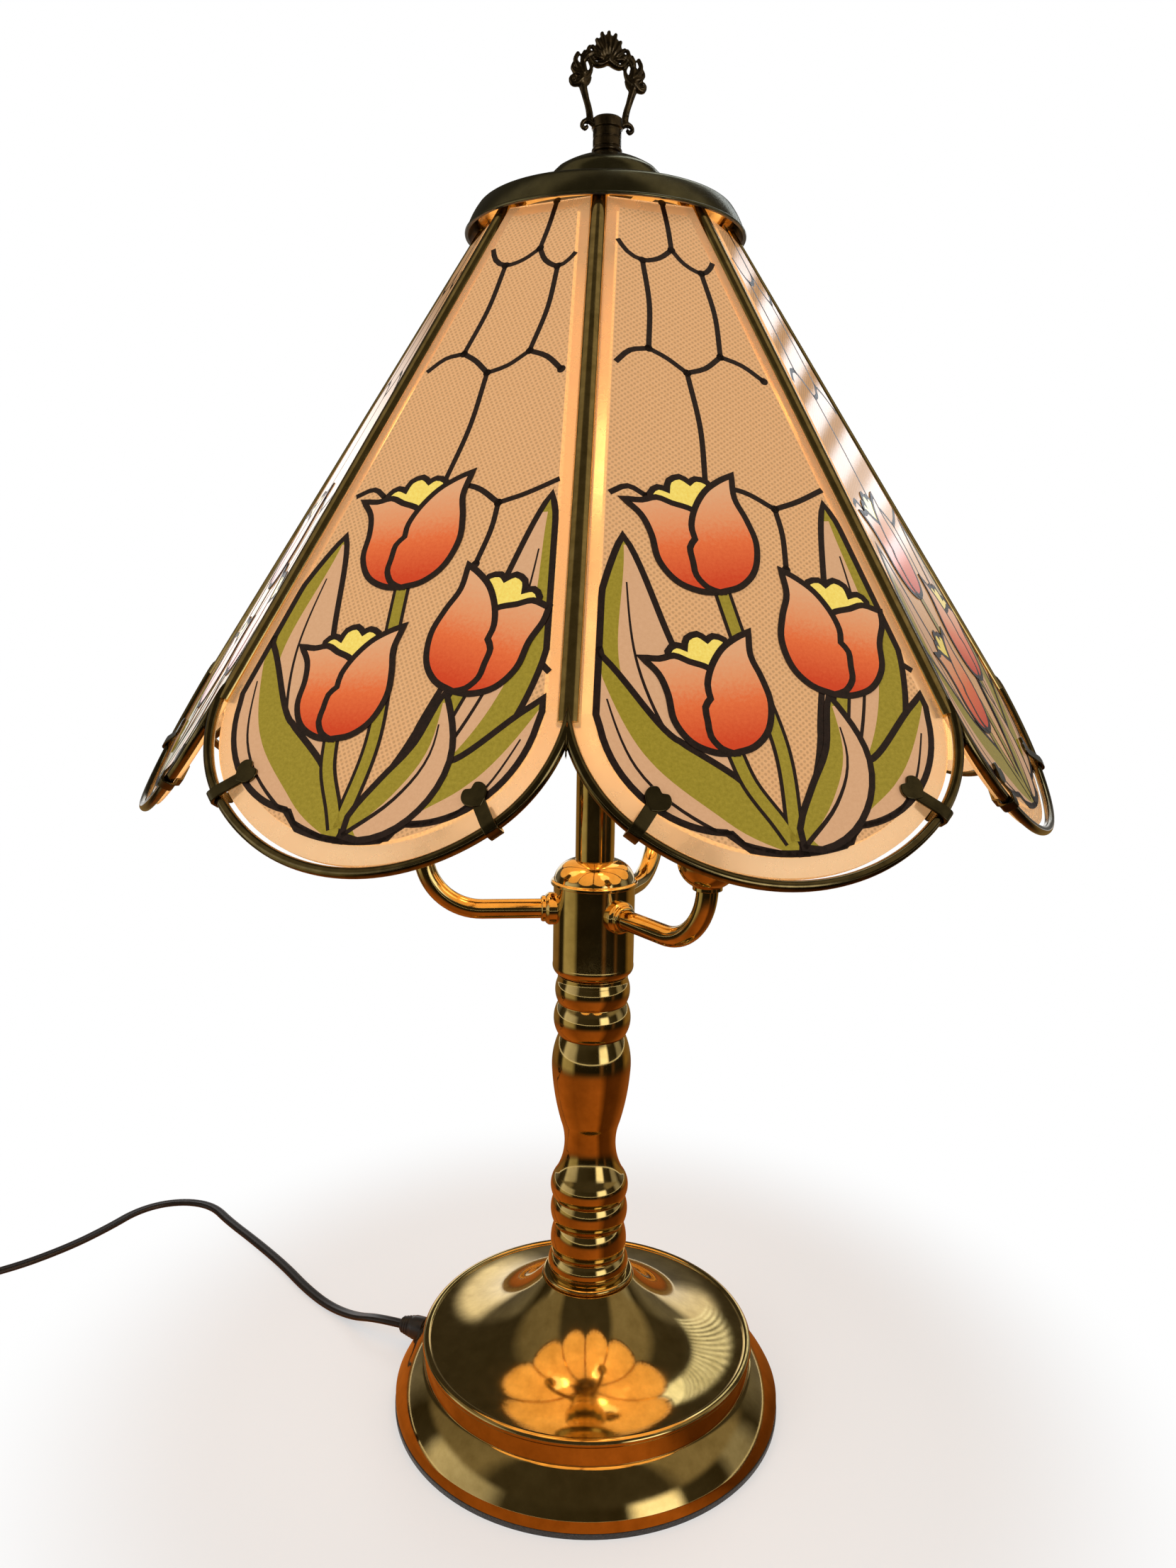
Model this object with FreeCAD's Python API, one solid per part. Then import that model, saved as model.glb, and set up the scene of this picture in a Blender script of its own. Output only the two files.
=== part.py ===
import FreeCAD, Part
import math
import os

# Table lamp, millimetres, +Z up, origin at the middle of the base's underside.
# Azimuth 0 faces the front (-Y), and a rib of the shade stands there.

os.makedirs("parts", exist_ok=True)
V = FreeCAD.Vector
UP = V(0, 0, 1)

# base
base_r = 82.2
shell_wall = 1.5
felt_t = 2.0
plate_t = 1.5
lip_r = 70.7
dish_top_r = 19.6
dish_top_z = 56.0
# column
pipe_r = 4.85
pipe_bore_r = 3.4
bore_r = 5.0
hub_z = 190.0
hub_r = 16.6
hub_top_z = 228.0
dome_top_z = 238.0
stem_r = 7.9
stem_top_z = 476.0
stud_r = 3.0
stud_top_z = 512.0
# arms
arm_azimuths = (-81.2, 38.8, 158.8)
arm_z = 217.7
arm_reach = 69.0
arm_bend = 23.5
arm_r = 4.0
arm_bore_r = 2.9
arm_top_z = 246.5
# bulb holders and bulbs
socket_z = 246.6
socket_top_z = 276.0
socket_r = 9.2
socket_bore_r = 6.2
bulb_cap_r = 5.9
bulb_r = 17.5
bulb_top_z = 352.0
# shade
panels = 8
shade_top_z = 474.3
top_apothem = 47.3
slope = math.radians(30.95)
top_half = 19.6
side_tan = math.tan(math.radians(12.0))
valley_v = 190.6
valley_half = 60.2
arch_depth = 48.9
arch_r1 = 42.0
rod_r = 1.6
rod_in = 0.8
glass_out = 0.88
glass_t = 3.0
pane_side = 2.4
pane_arch = 2.6
face_side = 7.8
face_arch = 8.7
bevel_d = 1.3
rib_top_r = 50.0
rib_low_r = 157.3
rib_low_z = 310.9
# cap and finial
cap_rim_r = 52.1
cap_top_z = 488.6
knob_z = 503.4
knob_r = 5.25
running = 0.08
# cord
cord_r = 2.5
bush_az = -106.0
bush_z = 9.5
bush_in = 68.5
bush_out = 90.5
coil_mean_r = 28.5
coil_pitch = 5.5
coil_turns = 8
coil_z = 3.3
coil_step = 5.5
tail_run = 30.0
plug_w = 24.0
plug_h = 17.6
plug_len = 28.0
relief_len = 20.0


def polar(r, azimuth, z):
    a = math.radians(azimuth)
    return V(r * math.sin(a), -r * math.cos(a), z)


def outline(steps, place):
    """Closed wire. A step of two numbers is a corner, a step of four is an arc
    through its first pair to its second."""
    start = place(steps[0][0], steps[0][1])
    here = start
    edges = []
    for step in steps[1:]:
        there = place(step[-2], step[-1])
        if len(step) == 4:
            middle = place(step[0], step[1])
            edges.append(Part.Arc(here, middle, there).toShape())
        else:
            edges.append(Part.LineSegment(here, there).toShape())
        here = there
    if (here - start).Length > 1e-6:
        edges.append(Part.LineSegment(here, start).toShape())
    return Part.Wire(edges)


def turned(steps):
    """Solid of revolution about Z from an outline in radius and height."""
    wire = outline(steps, lambda r, z: V(r, 0, z))
    return Part.Face(wire).revolve(V(0, 0, 0), UP, 360)


def plate(steps, place, along):
    wire = outline(steps, place)
    return Part.Face(wire).extrude(along)


def around(shape, azimuth):
    turned_shape = shape.copy()
    turned_shape.rotate(V(0, 0, 0), UP, azimuth)
    return turned_shape


def moved(shape, offset):
    moved_shape = shape.copy()
    moved_shape.translate(offset)
    return moved_shape


def tube(path, radius):
    """Round bar along a wire."""
    first = path.OrderedEdges[0]
    start = first.valueAt(first.FirstParameter)
    along = first.tangentAt(first.FirstParameter)
    if (start - path.OrderedVertexes[0].Point).Length > 1e-6:
        start = first.valueAt(first.LastParameter)
        along = first.tangentAt(first.LastParameter) * -1
    ring = Part.Wire([Part.Circle(start, along, radius).toShape()])
    return path.makePipeShell([ring], True, False)


def eight_sided(path, radius):
    """Bar along a wire, with eight flats in place of the round, one of them below."""
    first = path.OrderedEdges[0]
    start = first.valueAt(first.FirstParameter)
    along = first.tangentAt(first.FirstParameter)
    if (start - path.OrderedVertexes[0].Point).Length > 1e-6:
        start = first.valueAt(first.LastParameter)
        along = first.tangentAt(first.LastParameter) * -1
    sideways = along.cross(UP)
    sideways.normalize()
    upright = sideways.cross(along)
    corner = radius / math.cos(math.pi / 8)
    points = []
    for i in range(9):
        a = math.pi / 8 + i * math.pi / 4
        points.append(start + sideways * (corner * math.cos(a)) + upright * (corner * math.sin(a)))
    return path.makePipeShell([Part.makePolygon(points)], True, False)


def hexagon(across, z, height, hole):
    corner = across / math.sqrt(3)
    points = [V(corner * math.cos(math.radians(60 * i)), corner * math.sin(math.radians(60 * i)), z)
              for i in range(7)]
    body = Part.Face(Part.makePolygon(points)).extrude(V(0, 0, height))
    return body.cut(Part.makeCylinder(hole, height, V(0, 0, z)))


made = {}


def keep(name, *solids):
    shape = solids[0] if len(solids) == 1 else Part.makeCompound(list(solids))
    made[name] = shape


# ---------------------------------------------------------------- base
shell_outer = [(base_r, felt_t), (base_r, 6.6), (77.6, 13.9, 71.2, 20.0), (69.9, 20.3),
               (69.9, 27.8), (lip_r, 28.6), (69.9, 30.5), (68.4, 30.6), (67.4, 29.65),
               (40.5, 37.5, dish_top_r, dish_top_z)]
shell_inner = [(bore_r, dish_top_z), (bore_r, dish_top_z - shell_wall),
               (18.2, dish_top_z - shell_wall), (26.5, 44.6), (40.0, 35.6), (68.4, 27.6),
               (68.7, 18.9), (79.0, 9.0), (base_r - shell_wall, felt_t)]
keep("base_felt", Part.makeCylinder(base_r + 0.3, felt_t))
keep("bottom_plate", Part.makeCylinder(80.4, plate_t, V(0, 0, felt_t)))
weight = turned([(bore_r, 18.0), (24.0, 18.0), (24.0, 3.5), (66.0, 3.5), (66.0, 20.0),
                 (60.0, 25.0), (bore_r, 25.0)])
weight = weight.cut(Part.makeBox(34, 28, 13, V(27, -14, 3.5)))
keep("base_weight", weight)
keep("touch_module", Part.makeBox(30, 24, 10.5, V(29, -12, 3.5)))
bush_dir = polar(1, bush_az, 0)
shell = turned(shell_outer + shell_inner)
shell = shell.cut(Part.makeCylinder(4.15, 20, polar(72, bush_az, bush_z), bush_dir))
keep("base_shell", shell)

# cord bushing: a neck through the wall, a head that sits on the curved wall, a taper outside
filled = turned(shell_outer + [(0, dish_top_z), (0, felt_t)])
neck = Part.makeCylinder(4.05, 16, polar(bush_in, bush_az, bush_z), bush_dir)
head = Part.makeCylinder(5.2, 8.5, polar(76.0, bush_az, bush_z), bush_dir)
nose = Part.makeCone(5.2, 3.1, bush_out - 84.5, polar(84.5, bush_az, bush_z), bush_dir)
keep("cord_bushing", head.fuse(nose).cut(filled).fuse(neck).removeSplitter())

# ---------------------------------------------------------------- column
keep("lamp_pipe", turned([(pipe_bore_r, 8.0), (pipe_r, 8.0), (pipe_r, 203.0),
                          (pipe_bore_r, 203.0)]))
washer = turned([(bore_r, 16.6), (13.0, 16.6), (13.0, 18.0), (bore_r, 18.0)])
keep("pipe_nuts", washer, hexagon(17.0, 11.6, 5.0, pipe_r + 0.05),
     hexagon(17.0, 194.0, 4.0, pipe_r + 0.05))
keep("neck_ring", turned([(bore_r, 56.0), (18.3, 56.0), (19.2, 56.7), (19.2, 57.7),
                          (18.3, 58.4), (bore_r, 58.4)]))
keep("column_lower", turned([(bore_r, 58.4), (16.4, 58.4), (17.1, 62.5, 15.4, 67.0),
                             (16.1, 73.5, 14.6, 80.0), (16.3, 86.2, 15.0, 92.0),
                             (bore_r, 92.0)]))
keep("column_vase", turned([(bore_r, 92.0), (15.0, 92.0), (16.4, 97.4, 14.3, 103.0),
                            (10.9, 114.2, 12.5, 126.0), (15.2, 138.0, 16.5, 150.0),
                            (15.8, 157.8, 13.8, 164.0), (bore_r, 164.0)]))
keep("column_upper", turned([(bore_r, 164.0), (13.8, 164.0), (16.0, 171.3, 14.1, 178.0),
                             (15.5, 183.0, 14.5, 188.0), (14.5, hub_z), (bore_r, hub_z)]))
hub = turned([(bore_r, hub_z), (13.2, hub_z), (15.8, 191.4, hub_r, 195.0), (hub_r, hub_top_z),
              (hub_r - 2.0, hub_top_z), (hub_r - 2.0, hub_z + 4.0), (bore_r, hub_z + 4.0)])
for azimuth in arm_azimuths:
    hub = hub.cut(Part.makeCylinder(arm_r + 0.05, 8, polar(12, azimuth, arm_z),
                                    polar(1, azimuth, 0)))
keep("hub_body", hub)
keep("hub_dome", turned([(stud_r + 0.1, dome_top_z), (8.3, dome_top_z),
                         (14.2, 234.9, hub_r, hub_top_z + 1.8), (17.7, hub_top_z + 1.3),
                         (17.7, hub_top_z), (14.4, hub_top_z), (12.2, 233.0), (7.6, 235.8),
                         (stud_r + 0.1, 235.8)]))
keep("stem_tube", turned([(6.7, dome_top_z), (stem_r, dome_top_z), (stem_r, stem_top_z),
                          (6.7, stem_top_z)]))
keep("seat_washer", turned([(stud_r + 0.1, stem_top_z), (11.0, stem_top_z),
                            (11.0, stem_top_z + 2), (stud_r + 0.1, stem_top_z + 2)]))
stud = Part.makeCylinder(stud_r, stud_top_z - 227.0, V(0, 0, 227.0))
keep("stem_stud", stud, hexagon(11.0, 231.3, 4.5, stud_r + 0.05))

# ---------------------------------------------------------------- arms and bulb holders
bend_mid = arm_bend * math.sin(math.radians(45))
for number, azimuth in enumerate(arm_azimuths, 1):
    inner = polar(13.2, azimuth, arm_z)
    corner = polar(arm_reach - arm_bend, azimuth, arm_z)
    middle = polar(arm_reach - arm_bend + bend_mid, azimuth, arm_z + arm_bend - bend_mid)
    rise = polar(arm_reach, azimuth, arm_z + arm_bend)
    top = polar(arm_reach, azimuth, arm_top_z)
    path = Part.Wire([Part.LineSegment(inner, corner).toShape(),
                      Part.Arc(corner, middle, rise).toShape(),
                      Part.LineSegment(rise, top).toShape()])
    out = polar(1, azimuth, 0)
    collar = Part.makeCylinder(6.6, 5.2, polar(14.4, azimuth, arm_z), out)
    step = Part.makeCylinder(5.3, 2.0, polar(19.6, azimuth, arm_z), out)
    collar = collar.fuse(step).cut(Part.makeCylinder(hub_r, 60, V(0, 0, 180)))
    arm = tube(path, arm_r).fuse(collar).cut(eight_sided(path, arm_bore_r))
    keep("arm_%d" % number, arm)
    axis = polar(arm_reach, azimuth, 0)
    cup = turned([(arm_r + 0.05, 240.4), (5.4, 240.4), (5.4, 241.8), (9.2, 244.8), (11.2, 250.8),
                  (12.6, 253.4), (11.6, 253.9), (9.8, 249.6), (9.3, socket_z),
                  (arm_r + 0.05, socket_z)])
    keep("cup_%d" % number, moved(cup, axis))
    holder = turned([(0, 258.0), (0, 252.0), (4.6, 252.0), (4.6, socket_z), (8.0, socket_z),
                     (socket_r, socket_z + 1.5), (socket_r, socket_top_z),
                     (socket_bore_r, socket_top_z), (socket_bore_r, 258.0)])
    keep("socket_%d" % number, moved(holder, axis))
    bulb = turned([(0, 258.0), (2.4, 258.0), (bulb_cap_r, 261.0), (bulb_cap_r, socket_top_z + 1),
                   (13.4, 285.6), (17.0, 296.4), (bulb_r, 305.0), (15.9, 317.0),
                   (9.6, 335.6), (2.6, 347.6), (0.8, bulb_top_z), (0, bulb_top_z)])
    keep("bulb_%d" % number, moved(bulb, axis))

# ---------------------------------------------------------------- shade
# Panel frame: u across, v down the slope from the shade's top line, w inwards.
half_turn = 22.5
panel_az = math.radians(half_turn)
across = V(math.cos(panel_az), math.sin(panel_az), 0)
flat_out = V(math.sin(panel_az), -math.cos(panel_az), 0)
down = flat_out * math.sin(slope) - UP * math.cos(slope)
inward = (flat_out * math.cos(slope) + UP * math.sin(slope)) * -1
panel_origin = flat_out * top_apothem + UP * shade_top_z


def on_panel(u, v, w):
    return panel_origin + across * u + down * v + inward * w


# The arch under the valley line is a three-centre curve.
a1 = valley_half - arch_r1
arch_r2 = (a1 ** 2 + arch_depth ** 2 - arch_r1 ** 2) / (2 * (arch_depth - arch_r1))
join_angle = math.atan2(arch_r2 - arch_depth, a1)


def arch(inset):
    """Right half of the arch, from the valley line to the tip, as (u, v) points."""
    r1 = arch_r1 - inset
    half = join_angle / 2
    side_mid = (a1 + r1 * math.cos(half), valley_v + r1 * math.sin(half))
    join = (a1 + r1 * math.cos(join_angle), valley_v + r1 * math.sin(join_angle))
    return (valley_half - inset, valley_v), side_mid, join, (0, valley_v + arch_depth - inset)


def pane_wire(side_inset, arch_inset, top_v, w):
    start, side_mid, join, tip = arch(arch_inset)
    knee_v = (start[0] + side_inset - top_half) / side_tan
    top_u = top_half + top_v * side_tan - side_inset
    steps = [(-top_u, top_v), (top_u, top_v), (start[0], knee_v), start, side_mid + join,
             tip + (-join[0], join[1]), (-side_mid[0], side_mid[1], -start[0], start[1]),
             (-start[0], knee_v)]
    return outline(steps, lambda u, v: on_panel(u, v, w))


edge_w = glass_out + bevel_d
edge_wire = pane_wire(pane_side, pane_arch, -2.5, edge_w)
face_wire = pane_wire(face_side, face_arch, 3.5, glass_out)
slab = Part.Face(edge_wire).extrude(inward * (glass_t - bevel_d))
bevel = Part.makeLoft([edge_wire, face_wire], True, True)
pane = slab.fuse(bevel).removeSplitter()

# Hoop rod: follows the arch from valley to valley, mitred against its neighbours.
start, side_mid, join, tip = arch(0)


def rod_point(p):
    return on_panel(p[0], p[1], rod_in)


def mirrored(p):
    return (-p[0], p[1])


rod_path = Part.Wire([
    Part.Arc(rod_point(start), rod_point(side_mid), rod_point(join)).toShape(),
    Part.Arc(rod_point(join), rod_point(tip), rod_point(mirrored(join))).toShape(),
    Part.Arc(rod_point(mirrored(join)), rod_point(mirrored(side_mid)),
             rod_point(mirrored(start))).toShape()])
rod = eight_sided(rod_path, rod_r)
wedge = Part.makePolygon([V(0, 0, 250), V(0.05, -400, 250),
                          V(400, -400, 250), polar(400, 44.99, 250), V(0, 0, 250)])
rod = rod.common(Part.Face(wedge).extrude(V(0, 0, 150)))

# Rib: an H-section came at azimuth 0, its bead outside and its flange behind the glass.
rib_run = V(0, rib_top_r - rib_low_r, rib_low_z - shade_top_z)
rib_dir = V(rib_run)
rib_dir.normalize()
rib_out = V(0, rib_dir.z, -rib_dir.y)
rib_top = V(0, -rib_top_r, shade_top_z)
lean = math.tan(math.radians(19.15))
seat = 0.93
back = seat + glass_t / math.cos(math.radians(19.15))
came = [(-2.8, -(seat + 2.8 * lean)), (0, 0, 2.8, -(seat + 2.8 * lean)),
        (0.8, -(seat + 0.8 * lean)), (0.8, -(back + 0.8 * lean)), (3.2, -(back + 3.2 * lean)),
        (3.2, -6.2), (-3.2, -6.2), (-3.2, -(back + 3.2 * lean)), (-0.8, -(back + 0.8 * lean)),
        (-0.8, -(seat + 0.8 * lean))]
rib_start = rib_top - rib_dir * 12
rib = plate(came, lambda x, y: rib_start + V(x, 0, 0) + rib_out * y,
            rib_dir * (rib_run.Length + 24))
above = Part.makeBox(200, 200, 60, V(-100, -200, 478.0))
rib = rib.cut(above)
beyond = plate([(-120, valley_v), (120, valley_v), (120, 300), (-120, 300)],
               lambda u, v: on_panel(u, v, -30), inward * 60)
rib = rib.cut(beyond).cut(around(beyond, -45))

# Clip: a folded strip round the rod and both faces of the glass, with a heart-shaped pad.
clip_u = 39.1
clip_dv = 23.1
reach = math.hypot(clip_u - a1, clip_dv)
clip_cos = (clip_u - a1) / reach
clip_sin = clip_dv / reach
rod_at = arch_r1 - reach
strip = [(0, 0.88), (3.0, 0.88), (rod_at - 0.95, -0.95), (rod_at + 1.75, -0.95),
         (rod_at + 1.75, 2.55), (rod_at - 0.85, 2.55), (rod_at - 1.65, 3.9), (3.5, 3.9),
         (3.5, 4.7), (rod_at - 1.15, 4.7), (rod_at - 0.25, 3.35), (rod_at + 1.45, 3.35),
         (rod_at + 2.55, 2.2), (rod_at + 2.55, -0.6), (rod_at + 1.45, -1.75),
         (rod_at - 1.05, -1.75), (2.9, 0.08), (0, 0.08)]


def clip(side):
    def at(p, q, w):
        u = clip_u + clip_cos * p - clip_sin * q
        v = valley_v + clip_dv + clip_sin * p + clip_cos * q
        return on_panel(side * u, v, w)

    sideways = (at(0, 1, 0) - at(0, 0, 0)) * 4.0
    strap = plate(strip, lambda p, w: at(p, -2.0, w), sideways)
    heart = [(3.4, 0), (0.6, 3.6), (-1.6, 3.7), (-3.4, 2.1), (-2.3, 0), (-3.4, -2.1),
             (-1.6, -3.7), (0.6, -3.6)]
    pad = plate(heart, lambda p, q: at(p, q, -0.25), inward * (glass_out + 0.25))
    return strap.fuse(pad).removeSplitter()


clips = [clip(1), clip(-1)]
ribs = []
all_clips = []
for k in range(panels):
    turn = 45 * k
    keep("glass_pane_%d" % (k + 1), around(pane, turn))
    keep("hoop_%d" % (k + 1), around(rod, turn))
    ribs.append(around(rib, turn))
    all_clips.extend([around(clips[0], turn), around(clips[1], turn)])
keep("shade_ribs", *ribs)
keep("pane_clips", *all_clips)

# Spider: ring on the ribs' ends, four spokes and a boss that turns on the stud.
spider = turned([(39.0, 478.0), (47.6, 478.0), (47.6, 480.5), (39.0, 480.5)])
for k in range(4):
    spoke = Part.makeBox(8, 35, 2.5, V(-4, -41, 478.0))
    spider = spider.fuse(around(spoke, 22.5 + 90 * k))
boss = Part.makeCylinder(9.0, cap_top_z - 1.2 - 478.0, V(0, 0, 478.0))
spider = spider.fuse(boss).cut(Part.makeCylinder(stud_r + running, 30, V(0, 0, 470)))
keep("shade_spider", spider.removeSplitter())

# ---------------------------------------------------------------- cap and finial
keep("shade_cap", turned([(stud_r + running, cap_top_z), (22.5, cap_top_z), (44.6, 484.4),
                          (47.0, 483.5), (50.1, 479.0), (51.6, 475.2),
                          (cap_rim_r, 474.9), (cap_rim_r, 474.3), (51.0, 474.3), (48.8, 478.8),
                          (45.8, 482.7), (22.3, cap_top_z - 1.2),
                          (stud_r + running, cap_top_z - 1.2)]))
keep("cap_dome", turned([(stud_r + running, knob_z), (5.8, knob_z), (8.4, 502.8),
                         (14.0, 500.7), (18.7, 498.0), (21.0, 494.2),
                         (21.0, cap_top_z), (19.8, cap_top_z), (19.8, 493.8), (17.9, 496.8),
                         (8.0, 501.4), (stud_r + running, 502.2)]))
keep("finial_knob", turned([(stud_r + running, knob_z), (5.6, knob_z), (5.6, 504.3),
                            (4.9, 504.8), (5.5, 505.5), (4.9, 506.2), (knob_r, 506.8),
                            (knob_r, 512.6), (5.8, 513.2), (5.8, 516.2), (3.4, 517.2), (0, 517.2),
                            (0, 512.6), (stud_r + running, 512.6)]))

# Finial ornament: an open pierced casting, two scrolled arms that carry a shell crest.
thick = 3.0


def flat(steps, width):
    return plate(steps, lambda x, z: V(x, -width / 2, z), V(0, width, 0))


def disc(x, z, radius, width):
    corners = [(x + radius * math.cos(math.radians(45 * i + 22.5)),
                z + radius * math.sin(math.radians(45 * i + 22.5))) for i in range(8)]
    return flat(corners, width)


sides = []
for s in (1, -1):
    foot = flat([(s * 4.0, 513.6), (s * 8.6, 512.2), (s * 8.4, 515.4), (s * 4.0, 516.0)], 2.6)
    ball = disc(s * 8.5, 513.6, 1.8, 3.2)
    bar = flat([(s * 5.8, 515.0), (s * 6.1, 519.8), (s * 7.3, 524.2), (s * 8.2, 527.6),
                (s * 10.2, 527.0), (s * 9.2, 523.2), (s * 8.1, 519.2), (s * 7.8, 515.0)], 2.2)
    leaf = flat([(s * 7.4, 526.6), (s * 5.9, 531.2), (s * 6.6, 535.6), (s * 9.4, 538.0),
                 (s * 12.0, 535.2), (s * 11.4, 531.8), (s * 13.8, 530.6),
                 (s * 14.0, 527.6), (s * 11.6, 526.4)], 2.6)
    curl = disc(s * 12.9, 528.8, 1.7, 3.4)
    bead = disc(s * 11.4, 537.4, 1.2, 2.6)
    tie = flat([(s * 6.0, 534.4), (s * 9.6, 536.2), (s * 8.6, 538.4), (s * 5.2, 537.6)], 2.2)
    sides.extend([foot, ball, bar, leaf, curl, bead, tie])
crest = flat([(-6.4, 535.0), (-3.2, 533.7), (3.2, 533.7), (6.4, 535.0), (7.8, 538.2),
              (6.6, 541.6), (5.4, 543.6), (3.0, 545.9), (0, 546.4), (-3.0, 545.9),
              (-5.4, 543.6), (-6.6, 541.6), (-7.8, 538.2)], thick)
boss = disc(0, 542.2, 3.6, 4.4)
ornament = crest.fuse([boss] + sides).cut(Part.makeCylinder(5.8, 6.0, V(0, 0, 511.5)))
keep("finial_ornament", around(ornament.removeSplitter(), 16))


# ---------------------------------------------------------------- cord, coil and plug
def cord_path(points):
    """Straight runs joined by tangent arcs, each arc as large as its two runs allow."""
    edges = []
    radii = []
    here = points[0]
    for before, corner, after in zip(points, points[1:], points[2:]):
        a = corner - before
        b = after - corner
        setback = 0.45 * min(a.Length, b.Length)
        turn = a.getAngle(b)
        a.normalize()
        b.normalize()
        radius = setback / math.tan(turn / 2)
        radii.append(radius)
        inside = b - a
        inside.normalize()
        middle = corner + inside * (radius / math.cos(turn / 2) - radius)
        into = corner - a * setback
        out = corner + b * setback
        edges.append(Part.LineSegment(here, into).toShape())
        edges.append(Part.Arc(into, middle, out).toShape())
        here = out
    edges.append(Part.LineSegment(here, points[-1]).toShape())
    return Part.Wire(edges), radii


def heading(degrees):
    return V(math.cos(math.radians(degrees)), math.sin(math.radians(degrees)), 0)


exit_point = polar(bush_out, bush_az, bush_z)
route = [exit_point, exit_point + bush_dir * 13, V(-112.5, 37.0, 4.2), V(-127.5, 47.0, 2.5),
         V(-143, 60.5, 2.5), V(-160, 79, 2.5), V(-182, 99.5, 2.5), V(-204, 118.5, 2.5)]
for step, angle in ((19, 134), (15.5, 163), (15.5, 192), (15.5, 221), (18, 247), (24, 240),
                    (30, 228), (33, 213), (32, 200)):
    route.append(route[-1] + heading(angle) * step)
route[-1].z = coil_z
cord_wire, radii = cord_path(route)
cord = eight_sided(cord_wire, cord_r)
keep("cord", cord)
print("cord radii", [round(r) for r in radii])
print("cord runs", [round((b - a).Length) for a, b in zip(route, route[1:])])
section = 8 * math.tan(math.pi / 8) * cord_r ** 2
print("cord volume ratio", round(cord.Volume / (section * cord_wire.Length), 4))

# Coil: spirals in on the table and out again above, climbing where the spiral turns back.
coil_start = route[-1]
last_run = heading(200)
to_centre = V(last_run.y, -last_run.x, 0)
reach_in = coil_pitch * coil_turns / 2
coil_out_r = coil_mean_r + reach_in / 2
coil_in_r = coil_mean_r - reach_in / 2
coil_centre = coil_start + to_centre * coil_out_r
start_angle = math.atan2(-to_centre.y, -to_centre.x)


def coil_point(turn):
    middle = coil_turns / 2
    off = turn - middle
    radius = coil_in_r + coil_pitch * abs(off)
    angle = start_angle - 2 * math.pi * turn
    climb = min(max((off + 0.25) / 0.5, 0), 1)
    height = coil_step * (3 * climb ** 2 - 2 * climb ** 3)
    rate = 0 if abs(off) < 1e-9 else math.copysign(coil_pitch, off)
    rise = coil_step * (6 * climb - 6 * climb ** 2) / 0.5
    c = math.cos(angle)
    s = math.sin(angle)
    point = coil_centre + V(radius * c, radius * s, height)
    way = V(rate * c + 2 * math.pi * radius * s, rate * s - 2 * math.pi * radius * c, rise)
    way.normalize()
    return point, way


def arc_by_tangent(a, q, b):
    """Arc from a to b whose end tangents meet at q."""
    chord_mid = (a + b) * 0.5
    half = (q - a).getAngle(b - a)
    middle = chord_mid + (q - chord_mid) * (math.tan(half / 2) / math.tan(half))
    return Part.Arc(a, middle, b).toShape()


def biarc(p0, t0, p1, t1):
    v = p1 - p0
    t = t0 + t1
    k = 2 * (1 - t0.dot(t1))
    d = (-v.dot(t) + math.sqrt(v.dot(t) ** 2 + k * v.dot(v))) / k
    q0 = p0 + t0 * d
    q1 = p1 - t1 * d
    joint = (q0 + q1) * 0.5
    return [arc_by_tangent(p0, q0, joint), arc_by_tangent(joint, q1, p1)]


samples = [coil_point(i / 4) for i in range(4 * coil_turns + 1)]
samples[0] = (samples[0][0], last_run)
samples[-1] = (samples[-1][0], last_run)
coil_edges = []
for (p0, t0), (p1, t1) in zip(samples, samples[1:]):
    coil_edges.extend(biarc(p0, t0, p1, t1))
coil_end = samples[-1][0]
cord_end = coil_end + last_run * tail_run
coil_edges.append(Part.LineSegment(coil_end, cord_end).toShape())
coil_wire = Part.Wire(coil_edges)
coil = eight_sided(coil_wire, cord_r)
keep("cord_coil", coil)
print("coil volume ratio", round(coil.Volume / (section * coil_wire.Length), 4))
dots = []
for edge in coil_edges:
    count = max(4, int(edge.Length / 2))
    dots.extend(edge.discretize(Number=count)[:-1])
spacing = [0.0]
for a, b in zip(dots, dots[1:]):
    spacing.append(spacing[-1] + (b - a).Length)
gap = 1e9
for i, a in enumerate(dots):
    for j in range(i + 1, len(dots)):
        if spacing[j] - spacing[i] > 25:
            gap = min(gap, (dots[j] - a).Length - 2 * cord_r)
print("coil least gap", round(gap, 2))
print("cord length", round(cord_wire.Length + coil_wire.Length))
print("coil centre", coil_centre, "outer radius", round(coil_out_r + cord_r, 1))

# Two flat bands hold the coil.
band_in = coil_in_r - cord_r - 0.5
band_out = coil_out_r + cord_r + 0.5
band_top = coil_z + coil_step + cord_r + 0.3
bands = []
for angle in (50, 175):
    outer = Part.makeBox(band_out - band_in + 1.6, 5, band_top + 0.8, V(band_in - 0.8, -2.5, 0))
    hole = Part.makeBox(band_out - band_in, 5, band_top - 0.8, V(band_in, -2.5, 0.8))
    band = outer.cut(hole)
    band.rotate(V(0, 0, 0), UP, angle)
    bands.append(moved(band, V(coil_centre.x, coil_centre.y, 0)))
keep("coil_ties", *bands)

# Plug: lies flat, its rear taper grips the cord, two flat blades in front.
side = V(-last_run.y, last_run.x, 0)


def plug_section(along, width, height):
    c = cord_end + last_run * along
    w = width / 2
    h = height / 2
    r = min(w, h) * 0.45
    k = r * (1 - math.sqrt(0.5))
    steps = [(-w + r, -h), (w - r, -h), (w - k, -h + k, w, -h + r), (w, h - r),
             (w - k, h - k, w - r, h), (-w + r, h), (-w + k, h - k, -w, h - r), (-w, -h + r),
             (-w + k, -h + k, -w + r, -h)]
    return outline(steps, lambda x, z: c + side * x + UP * z)


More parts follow.
